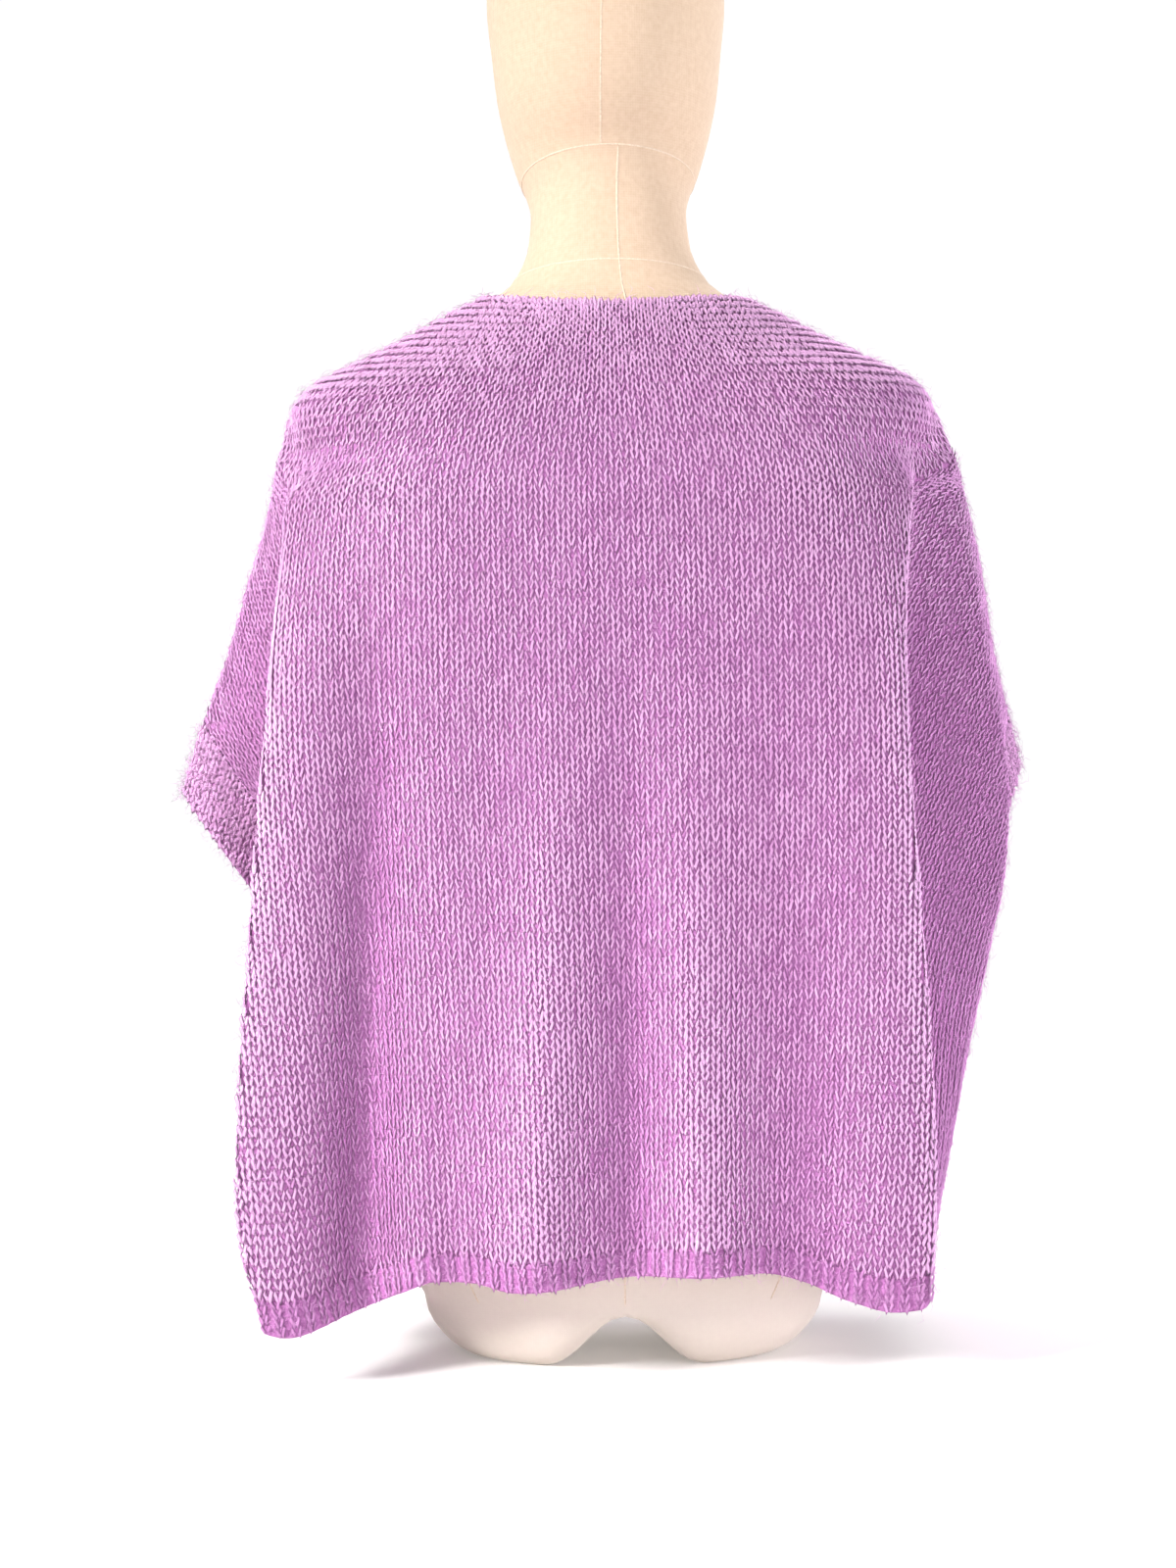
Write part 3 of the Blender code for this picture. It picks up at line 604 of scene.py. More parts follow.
@dataclass
class MeshData:
    """Points in centimetres, faces of three or four corners, and for yarn the tone of each point
    and the way it is lit from."""

    points: Array
    faces: Array
    tone: Array | None = None
    facing: Array | None = None

    def joined(self, other: "MeshData") -> "MeshData":
        """This mesh and another with the same kind of faces as one, without tones."""
        faces = np.vstack([self.faces, other.faces + len(self.points)])
        return MeshData(np.vstack([self.points, other.points]), faces)

    def to_object(self, name: str, place: Array, material: Material) -> Piece:
        """A smooth-shaded object in metres at the frame's place.

        Args:
            name: name of the piece.
            place: shift in metres from the tables' axis.
            material: finish of the whole piece.

        Returns:
            The new object, linked to the scene.
        """
        corners = self.faces.shape[1]
        mesh = bpy.data.meshes.new(name)
        mesh.vertices.add(len(self.points))
        mesh.vertices.foreach_set("co", (self.points * CM + place).astype(np.float32).ravel())
        mesh.loops.add(self.faces.size)
        mesh.loops.foreach_set("vertex_index", self.faces.astype(np.int32).ravel())
        mesh.polygons.add(len(self.faces))
        mesh.polygons.foreach_set("loop_start", np.arange(0, self.faces.size, corners, dtype=np.int32))
        mesh.update(calc_edges=True)
        mesh.shade_smooth()
        if self.tone is not None:
            attribute = mesh.attributes.new("tone", "FLOAT", "POINT")
            attribute.data.foreach_set("value", self.tone.astype(np.float32))
        if self.facing is not None:
            attribute = mesh.attributes.new("facing", "FLOAT_VECTOR", "POINT")
            attribute.data.foreach_set("vector", self.facing.astype(np.float32).ravel())
        mesh.materials.append(material)
        made = bpy.data.objects.new(name, mesh)
        bpy.context.scene.collection.objects.link(made)
        return made


def grid_faces(rows: int, columns: int, closed: bool = False) -> Array:
    """Four-cornered faces of a grid: each joins a point, the next one and the two above them.

    Args:
        rows: number of rows.
        columns: points in a row.
        closed: whether the last column joins the first.

    Returns:
        Faces as four indices each.
    """
    index = np.arange(rows * columns).reshape(rows, columns)
    if closed:
        index = np.hstack([index, index[:, :1]])
    corners = (index[:-1, :-1], index[:-1, 1:], index[1:, 1:], index[1:, :-1])
    return np.stack([corner.ravel() for corner in corners], axis=1)


def thin_shell(outer: Array, inner: Array, closed: bool = False, flipped: bool = False) -> MeshData:
    """Closed skin between two grids of points.

    Args:
        outer: rows by columns by xyz, the side that shows.
        inner: the same for the side behind it.
        closed: whether the rows run round on themselves.
        flipped: whether the outer grid's rows and columns turn the other way round.

    Returns:
        Four-cornered faces, all facing out.
    """
    rows, columns = outer.shape[:2]
    count = rows * columns
    index = np.arange(count).reshape(rows, columns)
    skin = grid_faces(rows, columns, closed)
    faces = [skin, skin[:, ::-1] + count]
    rims = [index[0][::-1], index[-1]]
    if closed:
        rims = [np.append(rim, rim[0]) for rim in rims]
    else:
        rims += [index[:, 0], index[::-1, -1]]
    for rim in rims:
        faces.append(np.stack([rim[:-1], rim[1:], rim[1:] + count, rim[:-1] + count], axis=1))
    faces = np.concatenate(faces)
    points = np.concatenate([outer.reshape(-1, 3), inner.reshape(-1, 3)])
    return MeshData(points, faces[:, ::-1] if flipped else faces)


@dataclass
class StitchField:
    """Where the knit stitches lie: centre, ways and size in centimetres, and how pale each is."""

    centres: Array
    up: Array
    outward: Array
    width: Array
    height: Array
    tone: Array

    @classmethod
    def joined(cls, parts: list["StitchField"]) -> "StitchField":
        """Several fields as one."""
        names = [each.name for each in fields(cls)]
        return cls(*(np.concatenate([getattr(part, name) for part in parts]) for name in names))

    def kept(self, keep: Array) -> "StitchField":
        """Only the stitches that a mask or a list of indices keeps."""
        return StitchField(*(getattr(self, each.name)[keep] for each in fields(self)))


@dataclass
class KnitGauge:
    """Stitch size of one kind of knitting, in centimetres."""

    wale: float
    course: float
    yarn: float
    spread: float = 0.5
    proud: float = 0.0
    unevenness: float = 0.11


@dataclass
class StitchLeg:
    """One leg of a knitted V, as a strand of yarn that dives in at both ends.

    Its middle line is read from a short table in shares of the stitch: how far out to the side,
    how far up, how far off the cloth in centimetres and how thick in shares of the yarn. The
    spreads say how far chance moves a leg from it. Stitches paler than brushed_from are fuller.
    """

    side: tuple[float, ...] = (0.44, 0.27, 0.73, 0.58)
    up: tuple[float, ...] = (-0.86, -0.40, 0.38, 0.84)
    off: tuple[float, ...] = (-0.04, 0.022, 0.028, -0.04)
    flatness: float = 0.55
    thick: tuple[float, ...] = (0.0, 1.0, 0.95, 0.0)
    corners: int = 3
    nudge_spread: float = 0.022
    size_spread: float = 0.12
    lift_spread: float = 0.012
    tip_shade: float = 0.2
    evenness: float = 0.85
    even_while_facing: tuple[float, float] = (0.08, 0.4)
    brushed_from: float = 0.6
    brushed_fullness: float = 1.8

    def middle_lines(
        self, stitches: StitchField, gauge: KnitGauge, wobble: Array, rng: np.random.Generator
    ) -> Array:
        """Places along each leg: shares of the stitch's width and height and a distance off the
        cloth, each moved a little by chance.

        Args:
            stitches: where the stitches lie.
            gauge: how wide their legs spread and how proud they stand.
            wobble: size of each leg beside the usual.
            rng: source of the random numbers.

        Returns:
            Stitches by two legs by four places by xyz.
        """
        count = len(stitches.centres)
        right = unit(np.cross(stitches.up, stitches.outward))
        up = unit(np.cross(stitches.outward, right))
        sign = np.array([-1.0, 1.0])[None, :, None, None]
        lift = rng.normal(0.0, self.lift_spread, (count, 2, 1, 1)) + gauge.proud
        nudge = rng.normal(0.0, self.nudge_spread, (count, 2, 1, 2))
        width = stitches.width[:, None, None, None] * gauge.spread
        height = stitches.height[:, None, None, None] * wobble
        side = np.array(self.side)[:, None] * width * sign + nudge[..., :1]
        rise = np.array(self.up)[:, None] * height + nudge[..., 1:]
        off = np.array(self.off)[:, None] + lift
        right, up, cloth = (way[:, None, None, :] for way in (right, up, stitches.outward))
        return stitches.centres[:, None, None, :] + (side * right + rise * up + off * cloth)

    def facing(self, cloth: Array, own: Array) -> Array:
        """The way that each point is lit from: a mix of its own way out of the strand and the
        cloth's. Light that seeps through the fuzz evens out the strands, but not where a fold
        turns to the side.

        Args:
            cloth: the cloth's way out at each stitch.
            own: each point's way out of the strand.

        Returns:
            Unit vectors, one to a point.
        """
        front = np.sign(cloth[..., 1].mean())
        evenness = self.evenness * ease(*self.even_while_facing, front * cloth[..., 1:2])
        return unit(evenness * cloth + (1 - evenness) * own).reshape(-1, 3)

    def mesh(self, stitches: StitchField, gauge: KnitGauge, seed: int) -> MeshData:
        """Both legs of every stitch.

        Each leg is a flattened ring of corners at the two inner places of its line, square to its
        own way, closed by a point at each end. Paler stitches are brushed fuller, and the ends of
        the legs are darker.

        Args:
            stitches: where the stitches lie.
            gauge: their yarn and spread.
            seed: start of the random numbers.

        Returns:
            Triangles with a tone for each point.
        """
        count = len(stitches.centres)
        rng = np.random.default_rng(seed)
        wobble = rng.normal(1.0, self.size_spread, (count, 2, 1, 1))
        line = self.middle_lines(stitches, gauge, wobble, rng)
        cloth = stitches.outward[:, None, None, :]
        way = unit(line[:, :, 2] - line[:, :, 1])[:, :, None, :]
        flat = unit(np.cross(cloth, way))
        turn = np.pi / 2 + np.arange(self.corners) * 2 * np.pi / self.corners
        ring = np.cos(turn)[:, None] * flat[..., None, :]
        ring = ring + self.flatness * np.sin(turn)[:, None] * cloth[..., None, :]
        full = 1 + self.brushed_fullness * np.clip(stitches.tone - self.brushed_from, 0, 1)
        thick = full[:, None, None, None, None] * gauge.yarn * np.array(self.thick)[:, None, None]
        thick = thick * wobble[..., None]
        rings = line[:, :, 1:3, None, :] + thick[:, :, 1:3] * ring
        tips = line[:, :, [0, 3]]
        points = np.concatenate([tips, rings.reshape(count, 2, -1, 3)], axis=2)
        own = np.broadcast_to(ring, rings.shape).reshape(count, 2, -1, 3)
        own = np.concatenate([np.broadcast_to(cloth, tips.shape), own], axis=2)
        per_leg = points.shape[2]
        faces = self.leg_faces()[None] + per_leg * np.arange(2 * count)[:, None, None]
        tone = rng.normal(stitches.tone[:, None, None], gauge.unevenness, (count, 1, 1))
        tone = np.broadcast_to(tone, (count, 2, per_leg)).copy()
        tone[:, :, :2] -= self.tip_shade
        tone = np.clip(tone, 0, 1).ravel()
        facing = self.facing(cloth, own)
        return MeshData(points.reshape(-1, 3), faces.reshape(-1, 3), tone, facing)

    def leg_faces(self) -> Array:
        """Triangles of one leg: a cone, a tube and a cone.

        Returns:
            Indices into the leg's points, where its two ends come first, then its two rings.
        """
        here = 2 + np.arange(self.corners)
        beside = np.roll(here, -1)
        above, above_beside = here + self.corners, beside + self.corners
        start, end = 0 * here, 0 * here + 1
        kinds = (
            (start, beside, here), (here, beside, above_beside), (here, above_beside, above),
            (above, above_beside, end),
        )
        return np.concatenate([np.stack(kind, axis=1) for kind in kinds])


@dataclass
class MohairHalo:
    """Loose fibres that stand off the brushed yarn, each a thin bent spindle."""

    shortest: float = 0.45
    longest: float = 1.25
    width: float = 0.012
    lean_out: float = 0.30
    bend: float = 0.22
    bow: float = 0.08
    root_spread: float = 0.3
    root_lift: float = 0.03
    denser_on_folds: float = 2.5
    tones: tuple[float, float] = (0.6, 1.0)

    def mesh(self, roots: StitchField, count: int, seed: int) -> MeshData:
        """Fibres rooted near stitches drawn by chance, more of them where a fold turns to the side.

        Each spindle has a point at its root, a ring of three corners at its bent middle and a
        point at its tip, so it is closed.

        Args:
            roots: stitches that may carry a fibre.
            count: number of fibres.
            seed: start of the random numbers.

        Returns:
            Triangles with a tone for each point.
        """
        rng = np.random.default_rng(seed)
        weight = 1 + self.denser_on_folds * (1 - np.abs(roots.outward[:, 1]))
        pick = rng.choice(len(roots.centres), count, p=weight / weight.sum())
        outward, up = roots.outward[pick], roots.up[pick]
        right = unit(np.cross(up, outward))
        angle = rng.uniform(0, 2 * np.pi, (count, 1))
        flat = np.cos(angle) * right + np.sin(angle) * up
        lean = np.abs(rng.normal(0, self.lean_out, (count, 1)))
        way = unit(flat + lean * outward)
        length = rng.uniform(self.shortest, self.longest, (count, 1))
        across = unit(np.cross(outward, way))
        spread = rng.uniform(-self.root_spread, self.root_spread, (count, 2))
        root = roots.centres[pick] + spread[:, :1] * right + spread[:, 1:] * up
        root = root + self.root_lift * outward
        swing = rng.normal(0, self.bend, (count, 1)) * length * across
        middle = root + 0.5 * length * way + swing + self.bow * length * outward
        tip = root + length * way
        normal = np.cross(way, across)
        turn = np.arange(3) * 2 * np.pi / 3
        ring = np.cos(turn)[:, None] * across[:, None] + np.sin(turn)[:, None] * normal[:, None]
        bulge = middle[:, None] + self.width * ring
        points = np.concatenate([root[:, None], bulge, tip[:, None]], axis=1)
        facing = np.concatenate([normal[:, None], ring, normal[:, None]], axis=1)
        one = np.array([[0, 2, 1], [0, 3, 2], [0, 1, 3], [4, 1, 2], [4, 2, 3], [4, 3, 1]])
        per_fibre = points.shape[1]
        faces = one[None] + per_fibre * np.arange(count)[:, None, None]
        tone = np.repeat(rng.uniform(*self.tones, count), per_fibre)
        return MeshData(points.reshape(-1, 3), faces.reshape(-1, 3), tone, unit(facing).reshape(-1, 3))


@dataclass
class KnitPanel:
    """One panel of plain knitting with its wings: a thin ground under thousands of stitches.

    The upright wales end at the troughs behind the folds, and between the two levels where the
    folds end they spread to the seam at the shoulder. Pairs of numbers are the places between
    which a change grows: levels or heights, the distance from a crest, the outward normal's rise,
    or the share of the way out.
    """

    shape: VestShape
    face: Face
    gauge: KnitGauge
    leg: StitchLeg
    stitch_parts: int
    fibres: int
    ground_depth: float = 0.09
    ground_wall: float = 0.10
    fold_end_levels: tuple[float, float] = (57.0, 61.5)
    trough_gap: float = 0.05
    sleeve_gap: float = 0.02
    neck_draw: float = 0.34
    neck_draw_levels: tuple[float, float] = (57.0, 70.5)
    wing_lean: float = 0.58
    wing_lean_levels: tuple[float, float] = (14.0, 33.0)
    wing_stagger: float = 0.75
    usual_tone: float = 0.5
    # painted highlight: the tone of stitches near a fold's crest is raised
    crest_tone: float = 0.26
    crest_reach: tuple[float, float] = (0.2, 2.5)
    # painted light: stitches whose cloth faces upward, as on the shoulders, are made paler
    shoulder_tone: float = 0.45
    shoulder_slope: tuple[float, float] = (0.42, 0.75)
    # painted shade on the wings: a lowered tone, deepest low down and inward of the outer rim
    pressed_tone: float = -0.5
    pressed_all_over: float = 0.25
    pressed_heights: tuple[float, float] = (40.0, 54.0)
    pressed_way_out: tuple[float, float] = (0.86, 0.97)
    # painted light on ridges and painted shade in troughs, from how far the cloth stands out
    relief_tone: float = 0.32
    relief_reach: int = 26
    rows: int = 244
    columns: int = 321
    ground_row_step: int = 4
    ground_column_step: int = 2
    chain_pitch: float = 0.5
    chain_yarn: float = 0.085
    chain_spread: float = 0.42
    chain_sunk: float = 0.06
    chain_end_gap: float = 0.1
    grid: ClothGrid = field(init=False)

    def __post_init__(self) -> None:
        """Sample the panel once, finely enough to read stitches from it."""
        levels = np.linspace(self.shape.hem + self.shape.band_depth, self.shape.neck, self.rows)
        across = np.linspace(-1, 1, self.columns)
        self.grid = ClothGrid.of_panel(self.shape, self.face, levels, across)

    @property
    def name(self) -> str:
        """Face of the panel as a plain word."""
        return self.face.name.lower()

    def ground(self) -> MeshData:
        """Thin closed skin a little below the cloth's outer surface, on fewer rows and columns.

        Returns:
            The grid moved in by the ground's depth, and again by its wall, joined at the rims.
        """
        rows = np.unique(np.append(np.arange(0, self.rows, self.ground_row_step), self.rows - 1))
        columns = slice(None, None, self.ground_column_step)
        points, normals = self.grid.points[rows][:, columns], self.grid.normals[rows][:, columns]
        outer = points - self.ground_depth * normals
        inner = outer - self.ground_wall * normals
        return thin_shell(outer, inner, flipped=self.face is Face.FRONT)

    def relief(self) -> Array:
        """How far each place stands out from the cloth beside it: its depth less the mean depth of
        its row within a short reach. It raises the stitches' tone as painted light on ridges and lowers it
        as painted shade in troughs.

        Returns:
            Centimetres for each point of the grid.
        """
        side = np.sign(self.grid.normals[:, self.columns // 2, 1].mean())
        depth = side * self.grid.points[..., 1]
        padded = np.pad(depth, ((0, 0), (self.relief_reach, self.relief_reach)), "edge")
        windows = np.lib.stride_tricks.sliding_window_view(padded, 2 * self.relief_reach + 1, axis=1)
        return depth - windows.mean(axis=-1)

    def limit_columns(self) -> tuple[Array, Array]:
        """Where the upright knitting ends: at the trough behind the hanging fold, and at the seam
        once the fold has died out at the shoulder.

        Returns:
            The left and the right column at each row, with fractions.
        """
        across = TROUGH + (1 - TROUGH) * ease(*self.fold_end_levels, self.grid.levels)
        half = (self.columns - 1) / 2
        return half * (1 - across), half * (1 + across)

    def body_stitches(self) -> StitchField:
        """Upright wales between the two troughs, drawn closer together towards the neckline.

        Wale n lies n gauges from the panel's middle along the cloth, and the courses lie one
        gauge apart up the middle line.

        Returns:
            The stitches, paler near the crests as a painted highlight.
        """
        grid, gauge = self.grid, self.gauge
        closer = 1 - self.neck_draw * ease(*self.neck_draw_levels, grid.levels)
        reach = int(np.abs(grid.run).max() / (gauge.wale * closer.min())) + 1
        wales = np.arange(-reach, reach + 1)
        wanted = gauge.wale * wales[None, :] * closer[:, None]
        columns = places_in_rows(grid.run, wanted)
        left, right = self.limit_columns()
        inside = (columns > left[:, None] + 1) & (columns < right[:, None] - 1)
        rows = np.arange(self.rows)[:, None] + 0 * columns
        inside &= np.abs(wanted) < np.abs(read_grid(grid.run, rows, columns)) + self.trough_gap
        middle = grid.points[:, self.columns // 2]
        height = arc_lengths(middle, axis=0)
        courses = np.arange(gauge.course / 2, height[-1], gauge.course)
        row = np.interp(courses, height, np.arange(self.rows))[:, None] + 0.0 * wales
        wale_index = np.broadcast_to(np.arange(len(wales)), row.shape)
        low, high = self.crest_runs()
        inward = np.minimum(wanted - low[:, None], high[:, None] - wanted)
        # painted highlight: paler stitches close to each crest
        paler = self.crest_tone * (1 - ease(*self.crest_reach, inward))
        return self.stitches_on(columns, inside, row, wale_index, closer, paler)

    def crest_runs(self) -> tuple[Array, Array]:
        """Outermost place of each row between the troughs: the crest of the hanging fold, or the
        shoulder's own edge.

        Returns:
            The run to it in each row, left and right.
        """
        left, right = self.limit_columns()
        column = np.arange(self.columns)
        body = (column >= left[:, None]) & (column <= right[:, None])
        sideways = self.grid.points[..., 0]
        lowest = np.where(body, sideways, np.inf).argmin(axis=1)
        highest = np.where(body, sideways, -np.inf).argmax(axis=1)
        rows = np.arange(self.rows)
        return self.grid.run[rows, lowest], self.grid.run[rows, highest]

    def wing_wales(self, side: Side) -> tuple[Array, Array, Array]:
        """Leaning wales of one wing, from the trough out to the sleeve opening and the seam.

        The lean grows from nothing near the hem to its full slope above the underarm: a wale's
        distance from the trough is its number of pitches plus the sum of the slope up to the row.

        Args:
            side: the left or right wing.

        Returns:
            The column of each wale at each row, whether it is knitted there, and how far each
            wale's courses are shifted so that they cross it squarely.
        """
        grid, gauge = self.grid, self.gauge
        left, right = self.limit_columns()
        limit = left if side is Side.LEFT else right
        start = read_grid(grid.run, np.arange(self.rows) + 0.0, limit)
        end = (side.value * (grid.run - start[:, None])).max(axis=1)
        slope = self.wing_lean * ease(*self.wing_lean_levels, grid.levels)
        heights = grid.points[:, self.columns // 2, 2]
        lean = np.concatenate([[0], np.cumsum((slope[1:] + slope[:-1]) / 2 * np.diff(heights))])
        pitch = gauge.wale * np.sqrt(1 + self.wing_lean**2)
        wales = np.arange(-int(lean[-1] / pitch) - 2, int(end.max() / pitch) + 2)
        out = pitch * wales[None, :] + lean[:, None]
        columns = places_in_rows(grid.run, start[:, None] + side.value * out)
        inside = (out > self.trough_gap) & (out < end[:, None] - self.sleeve_gap)
        shift = (wales * pitch * self.wing_lean * self.wing_stagger) % gauge.course
        return columns, inside, shift

    def wing_stitches(self, side: Side) -> StitchField:
        """Stitches of one wing: its courses step along each wale from the wale's own shift.

        Args:
            side: the left or right wing.

        Returns:
            The stitches, with painted shade: a little over the whole wing, and most low down and inward of
                its outer rim, near the body.
        """
        grid, gauge = self.grid, self.gauge
        columns, inside, shift = self.wing_wales(side)
        wales = np.arange(len(shift))[:, None]
        points = read_grid(grid.points, np.arange(self.rows)[:, None] + 0.0 * columns, columns)
        steps = np.linalg.norm(np.diff(points, axis=0), axis=-1) + LEAST_STEP
        length = np.vstack([0 * steps[:1], np.cumsum(steps, axis=0)]).T
        wanted = shift[:, None] + np.arange(0, length.max(), gauge.course)
        row = places_in_rows(length, wanted)
        knitted = read_grid(inside.astype(float), row, wales + 0.0 * row) >= MOSTLY
        row = np.where((wanted < length[:, -1:]) & knitted, row, -1.0)
        wale_index = np.broadcast_to(wales, row.shape)
        same = np.ones(self.rows)
        stitches = self.stitches_on(columns, inside, row, wale_index, same, 0.0 * columns)
        out = np.abs(stitches.centres[:, 0]) / np.abs(grid.points[:, 0, 0]).max()
        # painted shade: darker low on the wing and away from its outer rim, and a little all over
        low = 1 - ease(*self.pressed_heights, stitches.centres[:, 2])
        painted_wing_shade = low * (1 - ease(*self.pressed_way_out, out))
        painted_wing_shade = self.pressed_all_over + (1 - self.pressed_all_over) * painted_wing_shade
        stitches.tone += self.pressed_tone * painted_wing_shade
        return stitches

    def stitches_on(
        self, columns: Array, inside: Array, row: Array, wale: Array, closer: Array, paler: Array
    ) -> StitchField:
        """Stitches at places along the wales.

        Args:
            columns: rows by wales, the grid column where each wale lies.
            inside: rows by wales, whether the wale is knitted there.
            row: grid row of each stitch, or -1 for none.
            wale: which wale each stitch belongs to.
            closer: share of the gauge's width that a wale takes in each grid row.
            paler: rows by wales, painted highlight added to the stitches' tone there.

        Returns:
            The stitches whose place is inside, with their ways and their own height.
        """
        grid, gauge = self.grid, self.gauge
        knitted = read_grid(inside.astype(float), np.maximum(row, 0), wale + 0.0) > MOSTLY
        keep = (row >= 0) & knitted
        row, wale = row[keep], wale[keep] + 0.0
        column = read_grid(columns, row, wale)
        centres, outward = grid.read(row, column)
        ends = []
        for step in (-1.0, 1.0):
            near = np.clip(row + step, 0, self.rows - 1)
            ends.append(grid.read(near, read_grid(columns, near, wale))[0])
        up = unit(ends[1] - ends[0])
        width = gauge.wale * np.interp(row, np.arange(self.rows), closer)
        # painted light on ridges and painted shade in troughs
        relief = np.clip(read_grid(self.relief(), row, column), -1, 1)
        # painted light: paler where the cloth faces up
        painted_top_light = self.shoulder_tone * ease(*self.shoulder_slope, outward[:, 2])
        tone = self.usual_tone + self.relief_tone * relief + painted_top_light + read_grid(paler, row, wale)
        return StitchField(centres, up, outward, width, np.full(len(centres), gauge.course), tone)

    def stitches(self) -> StitchField:
        """All the panel's stitches.

        Returns:
            The body's and both wings' stitches, in order from left to right.
        """
        parts = [self.body_stitches(), self.wing_stitches(Side.LEFT), self.wing_stitches(Side.RIGHT)]
        every = StitchField.joined(parts)
        return every.kept(np.argsort(every.centres[:, 0], kind="stable"))

    def neck_stitches(self) -> StitchField:
        """One chain of cast-off stitches, at even steps along the neckline.

        Returns:
            The stitches, whose way up is the way along the edge.
        """
        points, normals = self.grid.points[-1], self.grid.normals[-1]
        length = arc_lengths(points, axis=0)
        along = np.arange(self.chain_pitch / 2, length[-1] - self.chain_end_gap, self.chain_pitch)
        places = np.interp(along, length, np.arange(self.columns))
        row = np.full(len(places), self.rows - 1.0)
        centres, outward = self.grid.read(row, places)
        ahead, _ = self.grid.read(row, np.minimum(places + 1, self.columns - 1))
        behind, _ = self.grid.read(row, np.maximum(places - 1, 0))
        centres = centres - self.chain_sunk * outward
        size = np.full(len(places), self.chain_pitch)
        tone = np.full(len(places), self.usual_tone)
        return StitchField(centres, unit(ahead - behind), outward, size, size, tone)

    def build(self, ground: Material, yarn: Material, place: Array) -> list[Piece]:
        """Make the ground, the stitches, the fibres and the neck chain.

        Args:
            ground: finish between the stitches.
            yarn: finish of the stitches.
            place: shift from the tables' axis to the frame's.

        Returns:
            The ground followed by the pieces that lie on it.
        """
        skin = self.ground().to_object(f"knit_ground_{self.name}", place, ground)
        pieces = []
        every = self.stitches()
        count = len(every.centres)
        parts = np.array_split(np.arange(count), self.stitch_parts)
        for number, part in enumerate(parts, start=1):
            mesh = self.leg.mesh(every.kept(part), self.gauge, seed=10 * number)
            pieces.append(mesh.to_object(f"stitches_{self.name}_{number}", place, yarn))
        halo = MohairHalo().mesh(every, self.fibres, seed=77)
        pieces.append(halo.to_object(f"halo_{self.name}", place, yarn))
        chain_gauge = KnitGauge(self.chain_pitch, self.chain_pitch, self.chain_yarn, self.chain_spread)
        chain = self.leg.mesh(self.neck_stitches(), chain_gauge, seed=5)
        pieces.append(chain.to_object(f"neck_chain_{self.name}", place, yarn))
        LOG.info("%s panel: %d stitches", self.name, count)
        return [skin] + pieces


